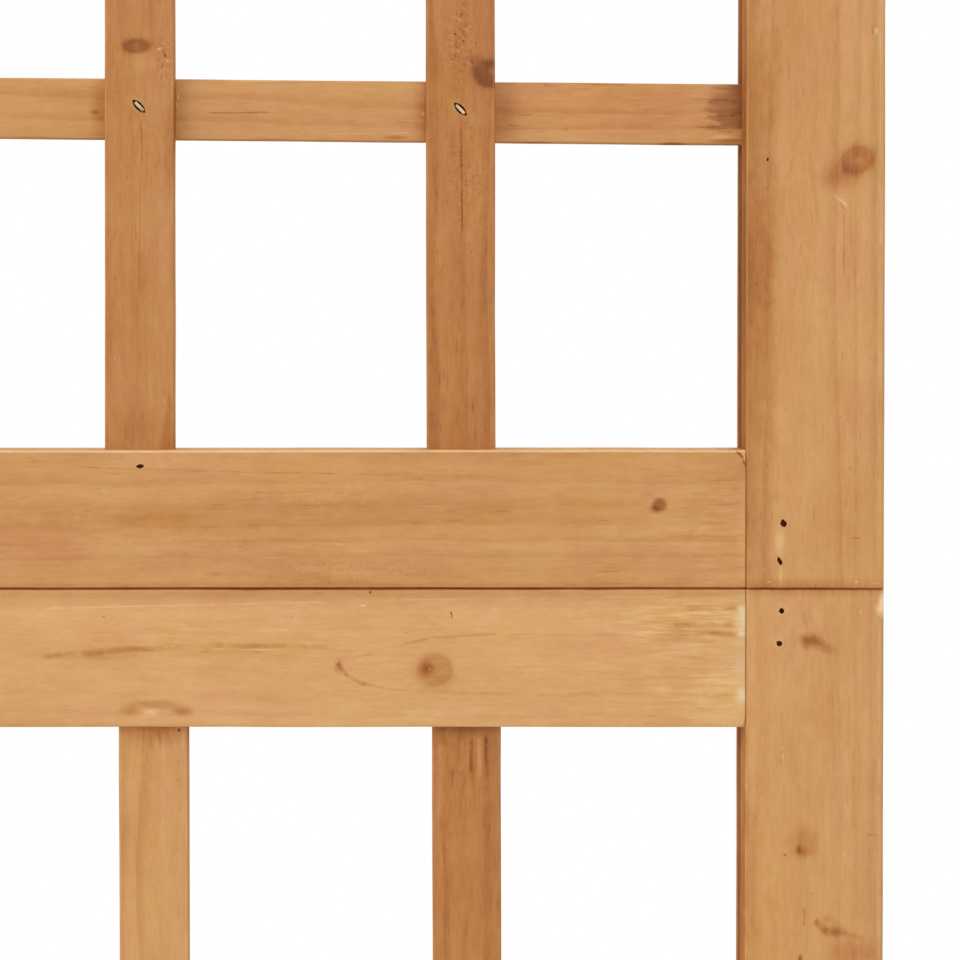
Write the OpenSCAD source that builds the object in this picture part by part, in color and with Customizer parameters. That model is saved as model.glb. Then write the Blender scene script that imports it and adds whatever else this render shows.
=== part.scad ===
// Three-panel folding trellis screen in stained fir.
// Each panel is two grooved frames, one on top of the other, with a square lattice of two layers of slats.
// The screen stands in a zigzag, +Z up, with its origin on the floor under the middle panel's centre.

/* [Screen] */
// Width of one panel
panel_w = 400; // [360:5:520]
// Height of one tier, of which a panel has two
tier_h = 850; // [760:10:980]
// Angle that each seam is folded by, away from a flat screen
fold_angle = 60; // [30:5:100]

/* [Frame] */
// Width of the stiles and rails, seen from the front
stock_w = 48; // [44:1:60]
// Thickness of the stiles and rails
stock_t = 20; // [18:1:26]
// Radius of the frame's eased edges
arris_r = 1.2; // [0.6:0.2:3]
// Depth of the groove along the inner edge of every stile and rail
groove_depth = 16; // [14:1:18]
// Gap between a tenon's end and the bottom of its groove
tenon_end_gap = 0.5; // [0.2:0.1:2]
// Play of a tenon or a slat across its groove, on each side
groove_play = 0.1; // [0.05:0.05:0.3]

/* [Lattice] */
// Number of upright slats in a tier
upright_count = 2; // [1:1:3]
// Width of an upright slat
upright_w = 24; // [18:1:28]
// Thickness of an upright slat
upright_t = 5; // [4:0.5:6]
// Number of cross slats in a tier
cross_count = 5; // [4:1:7]
// Width of a cross slat
cross_w = 21; // [18:0.5:26]
// Thickness of a cross slat
cross_t = 5; // [4:0.5:6]
// Radius of the slats' eased edges
slat_arris_r = 0.8; // [0.4:0.2:1.2]
// Gap between a slat's end and the bottom of its groove
slat_end_gap = 2; // [1:0.5:4]
// Most that a cross slat leans, in degrees, as nailed by hand
cross_lean = 0.5; // [0:0.1:0.6]

/* [Staples] */
// Length of the crown of the staple at each crossing
staple_crown = 6; // [5:0.5:8]
// Width of the crown
staple_w = 1.5; // [1:0.1:2]
// Thickness of the wire, across the legs
staple_wire = 1.1; // [0.9:0.1:1.3]
// Length of the legs with the crown
staple_l = 8.4; // [7:0.2:9]
// Depth that the crown is driven below the wood
staple_sink = 0.5; // [0.3:0.1:1]
// Length of the torn pit round a crown
staple_pit_l = 7.4; // [7:0.2:10]
// Width of that pit
staple_pit_w = 2.6; // [2:0.1:3.5]

/* [Brads] */
// Length of the brads through the corner joints
corner_brad_l = 15; // [12:1:16]
// Length of the brads driven from the front into an upright's end
front_brad_l = 8; // [7:0.5:9]
// Length of the brads driven from the back into an upright's end
back_brad_l = 13; // [12:0.5:14]
// Long side of a brad's head
brad_head_l = 2.2; // [1.8:0.1:3]
// Short side of a brad's head
brad_head_w = 1.4; // [1.2:0.1:1.8]
// Thickness of a brad's head
brad_head_t = 0.6; // [0.4:0.1:1]
// Side of a brad's square shank
brad_shank = 1.1; // [0.8:0.1:1.2]
// Depth that a brad's head is driven below the wood
brad_sink = 1; // [0.5:0.1:1.5]
// Length of the pit over a brad's head
brad_pit_l = 3.6; // [3.2:0.1:5]
// Width of that pit
brad_pit_w = 2; // [1.8:0.1:3]
// Depth of an upright's brad below the rail's inner edge
slat_brad_in = 5.5; // [4:0.5:10]

/* [Joining plates] */
// Length of the steel plate that joins the two tiers at the back
plate_l = 90; // [80:5:120]
// Width of the plate
plate_w = 15; // [12:1:18]
// Thickness of the plate
plate_t = 2; // [1.5:0.5:2.5]
// Distance from the panel's outer edge to the middle of the plate
plate_in = 15; // [12:1:18]
// Distance from the joint to the nearer screw of the plate
plate_near_screw = 14; // [10:1:20]
// Distance from the joint to the further screw of the plate
plate_far_screw = 36; // [30:1:38]
// Length of the plate's screws
plate_screw_l = 13; // [10:1:16]

/* [Dowels] */
// Diameter of the dowels between the two middle rails
dowel_d = 8; // [6:1:10]
// Length of a dowel
dowel_l = 40; // [30:2:46]
// Distance between the two dowels of a panel
dowel_spacing = 200; // [120:10:240]
// Play round a dowel
dowel_play = 0.05; // [0.02:0.01:0.1]

/* [Hinges] */
// Gap between two panels when they stand in line
seam_gap = 4; // [3.4:0.2:6]
// Distance from a panel's face to the hinge pin's axis
pin_out = 3.5; // [3.2:0.1:5]
// Length of a hinge
hinge_l = 50; // [40:2:60]
// Thickness of a leaf
leaf_t = 1.2; // [1:0.1:1.4]
// Distance from the leaf's free edge to the panel's far face
leaf_margin = 3; // [2.5:0.5:5]
// Outer diameter of the knuckles
knuckle_d = 6; // [5.4:0.2:6.2]
// Diameter of the hinge pin
pin_d = 3; // [2.4:0.1:3.4]
// Play between the pin and a knuckle, on each side
pin_play = 0.06; // [0.02:0.01:0.1]
// Gap between two knuckles, and between a knuckle and the other leaf
knuckle_gap = 0.3; // [0.2:0.05:0.5]
// Diameter of the heads that keep the pin in
pin_head_d = 5; // [4:0.2:5.4]
// Thickness of those heads
pin_head_t = 1; // [0.6:0.2:2]
// Distance from the end of a tier to the middle of a hinge
hinge_end = 150; // [100:10:200]
// Distance between the two screws of a leaf
leaf_screw_spacing = 30; // [24:2:34]
// Length of the hinge screws
hinge_screw_l = 16; // [12:1:20]

/* [Screws] */
// Diameter of a screw's shank
screw_d = 3; // [2.5:0.1:3.5]
// Diameter of a screw's countersunk head
screw_head_d = 5.8; // [5:0.1:6.4]
// Depth of the countersunk head
screw_head_t = 1.5; // [1.2:0.1:2]
// Length of the screw's point
screw_point = 3; // [2:0.5:4]
// Length of each slot of the cross recess
recess_l = 3; // [2.4:0.1:3.4]
// Width of each slot of the cross recess
recess_w = 0.8; // [0.6:0.1:1]
// Depth of the cross recess
recess_t = 1; // [0.6:0.1:1.2]

/* [Hidden] */
// How far each upright stands off its even place, as nailed by hand: for each panel from left to right,
// the upper tier's uprights and then the lower tier's, from left to right
UPRIGHT_DRIFT = [
    [[1.2, -0.6], [-1.4, 0.9]],
    [[0.5, -1.8], [1.6, -0.3]],
    [[-2.8, -1.65], [1.1, 1.7]]
];
// How far each upright leans, in degrees, in the same order
UPRIGHT_LEAN = [
    [[-0.08, 0.12], [0.1, -0.06]],
    [[0.1, 0.05], [-0.12, 0.08]],
    [[0.15, -0.1], [0.05, 0.12]]
];
// The corner brads of the upper and lower tiers: distance in from the stile's inner edge, and from the joint's end
CORNER_BRADS = [[[13, 22.6], [11.8, 9.6]], [[12.5, 7.6], [11.8, 18.9]]];
// How far the brads in the uprights' ends stand off the uprights' middles, in the upper and lower tiers
UPRIGHT_BRAD_DRIFT = [1.6, 0];

LEFT = 0;
MIDDLE = 1;
RIGHT = 2;
PANELS = ["left", "middle", "right"];
UPPER = 0;
LOWER = 1;
TIERS = [UPPER, LOWER];
LEFT_SIDE = -1;
RIGHT_SIDE = 1;
SIDES = [LEFT_SIDE, RIGHT_SIDE];
BACK = 1;
FRONT = -1;

PIECES = [
    "upper_left_stile", "upper_right_stile", "top_rail", "upper_middle_rail", "upper_uprights",
    "upper_cross_slats", "lower_left_stile", "lower_right_stile", "lower_middle_rail", "bottom_rail",
    "lower_uprights", "lower_cross_slats", "staples", "brads", "joining_plates", "plate_screws", "dowels",
    "hinge_screws"
];
SEAM_PIECES = ["seam_fixed_leaves", "seam_moving_leaves", "seam_hinge_pins"];
NODES = [
    for (panel = PANELS, piece = PIECES) str(panel, "_", piece),
    for (seam = [LEFT, RIGHT], piece = SEAM_PIECES) str(PANELS[seam], "_", piece)
];
node = "all";

arris_steps = 5;
round_faces = 32;
reach = 1;              // how far a cut runs past the surface that it opens
knuckle_count = 5;
slat_layer_y = 0;       // the plane where the uprights' backs meet the cross slats' fronts

lattice_front = slat_layer_y - upright_t;
lattice_back = slat_layer_y + cross_t;
solid_w = stock_w - groove_depth;
inner_w = panel_w - 2 * stock_w;
inner_h = tier_h - 2 * stock_w;
rail_l = inner_w;
tenon_l = groove_depth - tenon_end_gap;
slat_bite = groove_depth - slat_end_gap;
upright_l = inner_h + 2 * slat_bite;
cross_l = inner_w + 2 * slat_bite;
upright_opening = (inner_w - upright_count * upright_w) / (upright_count + 1);
cross_gap = (inner_h - cross_count * cross_w) / (cross_count + 1);
plate_screw_z = [-plate_far_screw, -plate_near_screw, plate_near_screw, plate_far_screw];
pin_x = panel_w / 2 + seam_gap / 2;
pin_y = stock_t / 2 + pin_out;
half_fold = fold_angle / 2;
leaf_w = pin_y + stock_t / 2 - leaf_margin;
leaf_face = seam_gap / 2 - leaf_t;
knuckle_l = (hinge_l - (knuckle_count - 1) * knuckle_gap) / knuckle_count;
hinge_z = [hinge_end, tier_h - hinge_end];
pin_head_gap = knuckle_gap / 2;

function wanted(name) = node == "all" || node == name;
function turned(p, angle) = [p.x * cos(angle) - p.y * sin(angle), p.x * sin(angle) + p.y * cos(angle)];
function arc(centre, r, start, sweep, steps) =
    [for (i = [0:steps]) let (a = start + sweep * i / steps) centre + r * [cos(a), sin(a)]];

// Places of the slats in a tier, whose frame has z = 0 at the joint between the tiers
function cycle(list, i) = list[i % len(list)];
function upright_x(panel, tier, i) =
    (i - (upright_count - 1) / 2) * (upright_opening + upright_w) + cycle(UPRIGHT_DRIFT[panel][tier], i);
function upright_lean(panel, tier, i) = cycle(UPRIGHT_LEAN[panel][tier], i);
function upright_x_at(panel, tier, i, z) =
    upright_x(panel, tier, i) + (z - tier_h / 2) * tan(upright_lean(panel, tier, i));
function cross_z(i) = stock_w + cross_gap + cross_w / 2 + i * (cross_w + cross_gap);
function cross_lean_of(panel, tier, i) = cross_lean * cos(180 * (RIGHT - panel) + 75 * tier + 104 * i);
function crossing(panel, tier, up, over) =
    let (x = upright_x_at(panel, tier, up, cross_z(over)))
    [x, cross_z(over) - x * tan(cross_lean_of(panel, tier, over))];

echo(hinge_axes_mm = [
    turned([-pin_x, -pin_y], -half_fold),
    turned([pin_x, pin_y], -half_fold)
]);
echo(panel_origins_mm = [for (panel = [LEFT, MIDDLE, RIGHT]) panel_origin(panel)]);

// ---- Placing ----

function panel_turn(panel) = panel == MIDDLE ? -half_fold : half_fold;
function panel_origin(panel) =
    panel == MIDDLE ? [0, 0] :
    let (side = panel == LEFT ? LEFT_SIDE : RIGHT_SIDE)
    turned([side * pin_x, side * pin_y], -half_fold) - turned([-side * pin_x, side * pin_y], half_fold);

module on_panel(panel) {
    origin = panel_origin(panel);
    translate([origin.x, origin.y, 0])
        rotate([0, 0, panel_turn(panel)])
            children();
}

module in_tier(tier) {
    translate([0, 0, tier_h])
        if (tier == UPPER)
            children();
        else
            mirror([0, 0, 1]) children();
}

module on_side(side) {
    if (side == RIGHT_SIDE)
        children();
    else
        mirror([1, 0, 0]) children();
}

// ---- Fasteners ----

module eye(l, w) {
    // A pointed oval, as the pit round a driven nail
    r = (l * l + w * w) / (4 * w);
    half = asin(l / 2 / r);
    polygon(concat(
        arc([0, w / 2 - r], r, 90 - half, 2 * half, 6),
        arc([0, r - w / 2], r, 270 - half, 2 * half, 6)
    ));
}

module staple() {
    // Driven along +Y, with the top of its crown at y = 0
    for (side = SIDES)
        translate([side * (staple_crown - staple_wire) / 2 - staple_wire / 2, 0, -staple_w / 2])
            cube([staple_wire, staple_l, staple_w]);
    translate([-staple_crown / 2, 0, -staple_w / 2])
        cube([staple_crown, staple_wire, staple_w]);
}

module staple_cut() {
    staple();
    translate([0, staple_wire, 0])
        rotate([90, 0, 0])
            linear_extrude(height = staple_wire + staple_sink + reach)
                eye(staple_pit_l, staple_pit_w);
}

module at_crossings(panel, tier) {
    for (up = [0:upright_count - 1], over = [0:cross_count - 1]) {
        place = crossing(panel, tier, up, over);
        translate([place.x, lattice_front + staple_sink, place.y])
            rotate([0, tier == UPPER ? 45 : -45, 0])
                children();
    }
}

module brad(l) {
    // Driven along +Y, with the top of its head at y = 0
    translate([-brad_head_w / 2, 0, -brad_head_l / 2])
        cube([brad_head_w, brad_head_t, brad_head_l]);
    translate([-brad_shank / 2, 0, -brad_shank / 2])
        cube([brad_shank, l, brad_shank]);
}

module brad_cut(l) {
    brad(l);
    translate([0, brad_head_t, 0])
        rotate([90, 0, 0])
            linear_extrude(height = brad_head_t + brad_sink + reach)
                rotate([0, 0, 75])
                    eye(brad_pit_l, brad_pit_w);
}

module at_corner_brads(tier, side) {
    // The same brads at the joint's end of the stile and, turned about its middle, at its far end
    for (far = [false, true], spot = CORNER_BRADS[tier])
        translate([
            side * (inner_w / 2 + spot.x), brad_sink - stock_t / 2, far ? tier_h - spot.y : spot.y
        ])
            children();
}

module at_upright_ends(panel, tier, up) {
    for (z = [stock_w - slat_brad_in, tier_h - stock_w + slat_brad_in])
        translate([upright_x_at(panel, tier, up, z) + UPRIGHT_BRAD_DRIFT[tier], 0, z])
            children();
}

module slat_brads(panel, tier, cut = false) {
    // Every second upright is nailed from the back
    for (up = [0:upright_count - 1])
        at_upright_ends(panel, tier, up)
            if (up % 2 == 0)
                translate([0, brad_sink - stock_t / 2, 0])
                    brad_or_cut(front_brad_l, cut);
            else
                mirror([0, 1, 0])
                    translate([0, brad_sink - stock_t / 2, 0])
                        brad_or_cut(back_brad_l, cut);
}

module brad_or_cut(l, cut) {
    if (cut)
        brad_cut(l);
    else
        brad(l);
}

module screw_body(l) {
    // Driven along +Z, with the face of its head at z = 0
    cylinder(h = screw_head_t, d1 = screw_head_d, d2 = screw_d, $fn = round_faces);
    cylinder(h = l - screw_point, d = screw_d, $fn = round_faces);
    translate([0, 0, l - screw_point])
        cylinder(h = screw_point, d1 = screw_d, d2 = 0, $fn = round_faces);
}

module screw(l) {
    difference() {
        screw_body(l);
        for (turn = [0, 90])
            rotate([0, 0, turn])
                translate([-recess_l / 2, -recess_w / 2, -reach])
                    cube([recess_l, recess_w, recess_t + reach]);
    }
}

// ---- Frame ----

// Section of the stock: u runs from the outer edge to the grooved inner edge, t through the thickness.
// The groove takes one layer of slats, from t0 to t1: the uprights in a rail, the cross slats in a stile
function stock_section(t0, t1) = concat(
    arc([arris_r, arris_r - stock_t / 2], arris_r, 180, 90, arris_steps),
    arc([stock_w - arris_r, arris_r - stock_t / 2], arris_r, 270, 90, arris_steps),
    [[stock_w, t0 - groove_play], [solid_w, t0 - groove_play]],
    [[solid_w, t1 + groove_play], [stock_w, t1 + groove_play]],
    arc([stock_w - arris_r, stock_t / 2 - arris_r], arris_r, 0, 90, arris_steps),
    arc([arris_r, stock_t / 2 - arris_r], arris_r, 90, 90, arris_steps)
);

module stile(panel, tier, side) {
    color("peru")
        difference() {
            on_side(side)
                translate([panel_w / 2, 0, 0])
                    mirror([1, 0, 0])
                        linear_extrude(height = tier_h)
                            polygon(stock_section(slat_layer_y, lattice_back));
            at_corner_brads(tier, side)
                brad_cut(corner_brad_l);
            at_edge_screws(panel, side)
                screw_body(hinge_screw_l);
            at_plate_screws(side)
                screw_body(plate_screw_l);
        }
}

module rail(panel, tier, far) {
    // The rail at the joint has its outer edge at z = 0; the far one is its mirror image
    color("burlywood")
        difference() {
            translate([0, 0, far ? tier_h : 0])
                mirror([0, 0, far ? 1 : 0]) {
                    rotate([0, -90, 0])
                        linear_extrude(height = rail_l, center = true)
                            polygon(stock_section(lattice_front, slat_layer_y));
                    translate([-rail_l / 2 - tenon_l, slat_layer_y, 0])
                        cube([rail_l + 2 * tenon_l, lattice_back - slat_layer_y, solid_w]);
                }
            for (side = SIDES)
                at_corner_brads(tier, side)
                    brad_cut(corner_brad_l);
            slat_brads(panel, tier, cut = true);
            if (!far)
                at_dowels()
                    cylinder(h = dowel_l / 2 + dowel_play, d = dowel_d + 2 * dowel_play, $fn = round_faces);
        }
}

// ---- Lattice ----

// A slat's section, w wide along x, with its faces at t0 and t1
function slat_section(w, t0, t1) = concat(
    arc([slat_arris_r - w / 2, t0 + slat_arris_r], slat_arris_r, 180, 90, 2),
    arc([w / 2 - slat_arris_r, t0 + slat_arris_r], slat_arris_r, 270, 90, 2),
    arc([w / 2 - slat_arris_r, t1 - slat_arris_r], slat_arris_r, 0, 90, 2),
    arc([slat_arris_r - w / 2, t1 - slat_arris_r], slat_arris_r, 90, 90, 2)
);

module uprights(panel, tier) {
    color("sandybrown")
        difference() {
            for (i = [0:upright_count - 1])
                translate([upright_x(panel, tier, i), 0, tier_h / 2])
                    rotate([0, upright_lean(panel, tier, i), 0])
                        linear_extrude(height = upright_l, center = true)
                            polygon(slat_section(upright_w, lattice_front, slat_layer_y));
            at_crossings(panel, tier)
                staple_cut();
            slat_brads(panel, tier, cut = true);
        }
}

module cross_slats(panel, tier) {
    color("tan")
        difference() {
            for (i = [0:cross_count - 1])
                translate([0, 0, cross_z(i)])
                    rotate([0, cross_lean_of(panel, tier, i) - 90, 0])
                        linear_extrude(height = cross_l, center = true)
                            polygon(slat_section(cross_w, slat_layer_y, lattice_back));
            at_crossings(panel, tier)
                staple();
        }
}

module staples(panel) {
    color("silver")
        for (tier = TIERS)
            in_tier(tier)
                at_crossings(panel, tier)
                    staple();
}

module brads(panel) {
    color("dimgray")
        for (tier = TIERS)
            in_tier(tier) {
                for (side = SIDES)
                    at_corner_brads(tier, side)
                        brad(corner_brad_l);
                slat_brads(panel, tier);
            }
}

// ---- Joint between the tiers, in a frame with z = 0 at the joint ----

module at_plate_screws(side) {
    for (z = plate_screw_z)
        translate([side * (panel_w / 2 - plate_in), stock_t / 2 + plate_t, z])
            rotate([90, 0, 0])
                children();
}

module joining_plates() {
    color("lightsteelblue")
        for (side = SIDES)
            difference() {
                translate([side * (panel_w / 2 - plate_in), stock_t / 2, 0])
                    rotate([-90, 0, 0])
                        linear_extrude(height = plate_t)
                            polygon(plate_outline());
                at_plate_screws(side)
                    screw_body(plate_screw_l);
            }
}

function plate_outline() = concat(
    arc([0, plate_l / 2 - plate_w / 2], plate_w / 2, 0, 180, 16),
    arc([0, plate_w / 2 - plate_l / 2], plate_w / 2, 180, 180, 16)
);

module plate_screws() {
    color("gainsboro")
        for (side = SIDES)
            at_plate_screws(side)
                screw(plate_screw_l);
}

module at_dowels() {
    for (side = SIDES)
        translate([side * dowel_spacing / 2, 0, 0])
            children();
}

module dowels() {
    color("wheat")
        at_dowels()
            cylinder(h = dowel_l, d = dowel_d, center = true, $fn = round_faces);
}

// ---- Hinges ----

// The side of the panel's thickness that a seam's pins are on: the left seam folds forwards, the right one back
function pin_face(panel, side) = (panel == LEFT || (panel == MIDDLE && side == LEFT_SIDE)) ? FRONT : BACK;
function is_hinged(panel, side) = panel == MIDDLE || (panel == LEFT) == (side == RIGHT_SIDE);

// Children are drawn in the frame of a hinge: z along the pin, the panel's edge face at x = seam_gap / 2,
// and the panel at negative y
module at_hinges(panel, side) {
    face = pin_face(panel, side);
    for (z = hinge_z)
        translate([side * pin_x, face * pin_y, z])
            mirror([side == RIGHT_SIDE ? 1 : 0, 0, 0])
                mirror([0, face == FRONT ? 1 : 0, 0])
                    children();
}

module leaf_screws() {
    for (z = [-leaf_screw_spacing / 2, leaf_screw_spacing / 2])
        translate([leaf_face, -pin_y, z])
            rotate([0, 90, 0])
                children();
}

module at_edge_screws(panel, side) {
    if (is_hinged(panel, side))
        at_hinges(panel, side)
            leaf_screws()
                children();
}

function knuckle_z(i) = -hinge_l / 2 + i * (knuckle_l + knuckle_gap);

module leaf(first) {
    // Knuckles first, first + 2 and so on belong to this leaf; the others' room is cut out of its plate
    difference() {
        union() {
            translate([leaf_face, -leaf_w, -hinge_l / 2])
                cube([leaf_t, leaf_w, hinge_l]);
            for (i = [first:2:knuckle_count - 1])
                translate([0, 0, knuckle_z(i)])
                    cylinder(h = knuckle_l, d = knuckle_d, $fn = round_faces);
        }
        for (i = [1 - first:2:knuckle_count - 1])
            translate([0, 0, knuckle_z(i) - knuckle_gap])
                cylinder(h = knuckle_l + 2 * knuckle_gap, d = knuckle_d + 2 * knuckle_gap, $fn = round_faces);
        translate([0, 0, -hinge_l])
            cylinder(h = 2 * hinge_l, d = pin_d + 2 * pin_play, $fn = round_faces);
        leaf_screws()
            screw_body(hinge_screw_l);
    }
}

module leaves(panel, side, first) {
    color("darkkhaki")
        for (tier = TIERS)
            in_tier(tier)
                at_hinges(panel, side)
                    leaf(first);
}

module hinge_pins(side) {
    shaft = hinge_l + 2 * pin_head_gap;
    color("goldenrod")
        for (tier = TIERS)
            in_tier(tier)
                at_hinges(MIDDLE, side) {
                    cylinder(h = shaft, d = pin_d, center = true, $fn = round_faces);
                    for (end = [0, 1])
                        mirror([0, 0, end])
                            translate([0, 0, shaft / 2])
                                cylinder(h = pin_head_t, d = pin_head_d, $fn = round_faces);
                }
}

module hinge_screws(panel) {
    color("gold")
        for (tier = TIERS, side = SIDES)
            in_tier(tier)
                at_edge_screws(panel, side)
                    screw(hinge_screw_l);
}

// ---- Assembly ----

for (panel = [LEFT, MIDDLE, RIGHT]) {
    name = PANELS[panel];
    if (wanted(str(name, "_upper_left_stile"))) on_panel(panel) in_tier(UPPER) stile(panel, UPPER, LEFT_SIDE);
    if (wanted(str(name, "_upper_right_stile"))) on_panel(panel) in_tier(UPPER) stile(panel, UPPER, RIGHT_SIDE);
    if (wanted(str(name, "_top_rail"))) on_panel(panel) in_tier(UPPER) rail(panel, UPPER, true);
    if (wanted(str(name, "_upper_middle_rail"))) on_panel(panel) in_tier(UPPER) rail(panel, UPPER, false);
    if (wanted(str(name, "_upper_uprights"))) on_panel(panel) in_tier(UPPER) uprights(panel, UPPER);
    if (wanted(str(name, "_upper_cross_slats"))) on_panel(panel) in_tier(UPPER) cross_slats(panel, UPPER);
    if (wanted(str(name, "_lower_left_stile"))) on_panel(panel) in_tier(LOWER) stile(panel, LOWER, LEFT_SIDE);
    if (wanted(str(name, "_lower_right_stile"))) on_panel(panel) in_tier(LOWER) stile(panel, LOWER, RIGHT_SIDE);
    if (wanted(str(name, "_lower_middle_rail"))) on_panel(panel) in_tier(LOWER) rail(panel, LOWER, false);
    if (wanted(str(name, "_bottom_rail"))) on_panel(panel) in_tier(LOWER) rail(panel, LOWER, true);
    if (wanted(str(name, "_lower_uprights"))) on_panel(panel) in_tier(LOWER) uprights(panel, LOWER);
    if (wanted(str(name, "_lower_cross_slats"))) on_panel(panel) in_tier(LOWER) cross_slats(panel, LOWER);
    if (wanted(str(name, "_staples"))) on_panel(panel) staples(panel);
    if (wanted(str(name, "_brads"))) on_panel(panel) brads(panel);
    if (wanted(str(name, "_joining_plates"))) on_panel(panel) in_tier(UPPER) joining_plates();
    if (wanted(str(name, "_plate_screws"))) on_panel(panel) in_tier(UPPER) plate_screws();
    if (wanted(str(name, "_dowels"))) on_panel(panel) in_tier(UPPER) dowels();
    if (wanted(str(name, "_hinge_screws"))) on_panel(panel) hinge_screws(panel);
}
if (wanted("left_seam_fixed_leaves")) on_panel(MIDDLE) leaves(MIDDLE, LEFT_SIDE, 0);
if (wanted("left_seam_moving_leaves")) on_panel(LEFT) leaves(LEFT, RIGHT_SIDE, 1);
if (wanted("left_seam_hinge_pins")) on_panel(MIDDLE) hinge_pins(LEFT_SIDE);
if (wanted("right_seam_fixed_leaves")) on_panel(MIDDLE) leaves(MIDDLE, RIGHT_SIDE, 0);
if (wanted("right_seam_moving_leaves")) on_panel(RIGHT) leaves(RIGHT, LEFT_SIDE, 1);
if (wanted("right_seam_hinge_pins")) on_panel(MIDDLE) hinge_pins(RIGHT_SIDE);
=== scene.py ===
# %% [markdown]
# # A folding lattice screen in stained fir
#
# The screen has three panels hinged in a zigzag. Each panel is two grooved frames, one on top of the other,
# and each holds a lattice of upright slats in front and cross slats behind. The measured model comes first.
# It fixes where every piece is, and all that follows takes its places from it.

# %% The measured model
import math
import random

import bpy
import numpy as np
from mathutils import Matrix, Vector


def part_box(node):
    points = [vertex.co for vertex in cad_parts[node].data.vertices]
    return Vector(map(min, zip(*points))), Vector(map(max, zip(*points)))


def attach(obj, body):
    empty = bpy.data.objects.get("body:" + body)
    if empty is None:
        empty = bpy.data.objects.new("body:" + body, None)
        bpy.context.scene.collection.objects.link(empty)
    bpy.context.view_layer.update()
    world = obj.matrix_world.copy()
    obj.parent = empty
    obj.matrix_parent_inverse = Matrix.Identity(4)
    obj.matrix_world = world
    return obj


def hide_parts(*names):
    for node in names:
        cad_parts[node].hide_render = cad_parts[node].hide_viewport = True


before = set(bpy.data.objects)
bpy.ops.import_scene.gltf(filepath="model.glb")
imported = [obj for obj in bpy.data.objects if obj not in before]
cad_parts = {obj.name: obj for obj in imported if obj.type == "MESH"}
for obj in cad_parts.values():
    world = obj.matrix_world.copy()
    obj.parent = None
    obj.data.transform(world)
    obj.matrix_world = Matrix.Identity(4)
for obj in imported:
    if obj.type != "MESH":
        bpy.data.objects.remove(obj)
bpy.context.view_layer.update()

# %% [markdown]
# ## Each panel's own frame
#
# A panel is easiest to think of lying flat on the bench: x runs across it, y through it from front to back,
# and z up it. A matrix then turns it to its place in the zigzag. Its middle is the middle of its two upper
# stiles, and the seams are folded by 60 degrees, so each panel is turned by half of that, one way and the
# other.

# %% Panels
MM = 0.001
HALF_FOLD = math.radians(30)
PANEL_TURN = {"left": HALF_FOLD, "middle": -HALF_FOLD, "right": HALF_FOLD}


def panel_frame(panel):
    corners = [corner for side in ("left", "right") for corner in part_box(f"{panel}_upper_{side}_stile")]
    middle = sum(corners, Vector()) / len(corners)
    return Matrix.Translation((middle.x, middle.y, 0)) @ Matrix.Rotation(PANEL_TURN[panel], 4, "Z")


PANEL_FRAME = {panel: panel_frame(panel) for panel in PANEL_TURN}


def points_of(mesh):
    points = np.empty(3 * len(mesh.vertices))
    mesh.vertices.foreach_get("co", points)
    return points.reshape(-1, 3)


def points_in_panel(panel, mesh):
    to_panel = np.array(PANEL_FRAME[panel].inverted())
    return points_of(mesh) @ to_panel[:3, :3].T + to_panel[:3, 3]


def panel_box(panel, node):
    """Lowest and highest corner of a node in its panel's own frame."""
    points = points_in_panel(panel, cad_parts[node].data)
    return Vector(points.min(axis=0)), Vector(points.max(axis=0))


stile_low, stile_high = panel_box("right", "right_upper_right_stile")
STOCK_WIDTH, STOCK_THICKNESS, TIER_HEIGHT = stile_high - stile_low
JOINT_Z = stile_low.z
STILE_INNER_X = stile_low.x
PANEL_EDGE_X = stile_high.x
print("stock", [round(side / MM, 1) for side in (STOCK_WIDTH, STOCK_THICKNESS, TIER_HEIGHT)], "mm")

# %% [markdown]
# ## The camera
#
# The picture is a close, square-on view of the right panel's front, where its two tiers meet at the outer
# stile. The camera stands a little above the middle rails, so that the rails' upper edges just show. It
# tilts down by less than a degree, and the lens is shifted down for the rest, because a tilt makes the
# stile lean.

# %% Camera
CAMERA_DISTANCE = 550 * MM
CAMERA_X = 60.3 * MM
CAMERA_Z = 925 * MM
CAMERA_TILT = math.radians(0.7)
PICTURE_WIDTH = 331 * MM
PICTURE_MIDDLE_Z = 887.7 * MM

camera_data = bpy.data.cameras.new("camera")
camera = bpy.data.objects.new("camera", camera_data)
bpy.context.scene.collection.objects.link(camera)
bpy.context.scene.camera = camera
camera_data.lens = camera_data.sensor_width * CAMERA_DISTANCE / PICTURE_WIDTH
aim_z = CAMERA_Z - CAMERA_DISTANCE * math.tan(CAMERA_TILT)
camera_data.shift_y = (PICTURE_MIDDLE_Z - aim_z) / PICTURE_WIDTH
stand = Matrix.Translation((CAMERA_X, -STOCK_THICKNESS / 2 - CAMERA_DISTANCE, CAMERA_Z))
camera.matrix_world = PANEL_FRAME["right"] @ stand @ Matrix.Rotation(math.pi / 2 - CAMERA_TILT, 4, "X")
print("lens", round(camera_data.lens, 1), "mm, shift", round(camera_data.shift_y, 4))

# %% [markdown]
# ## Finishes written as sums
#
# A finish is a tree of nodes, but it reads better as arithmetic. `Signal` wraps one socket, and Python's
# own signs on it add Math nodes. `Nodes.node` adds any node: its type, its settings, then its sockets in
# order.

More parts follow.
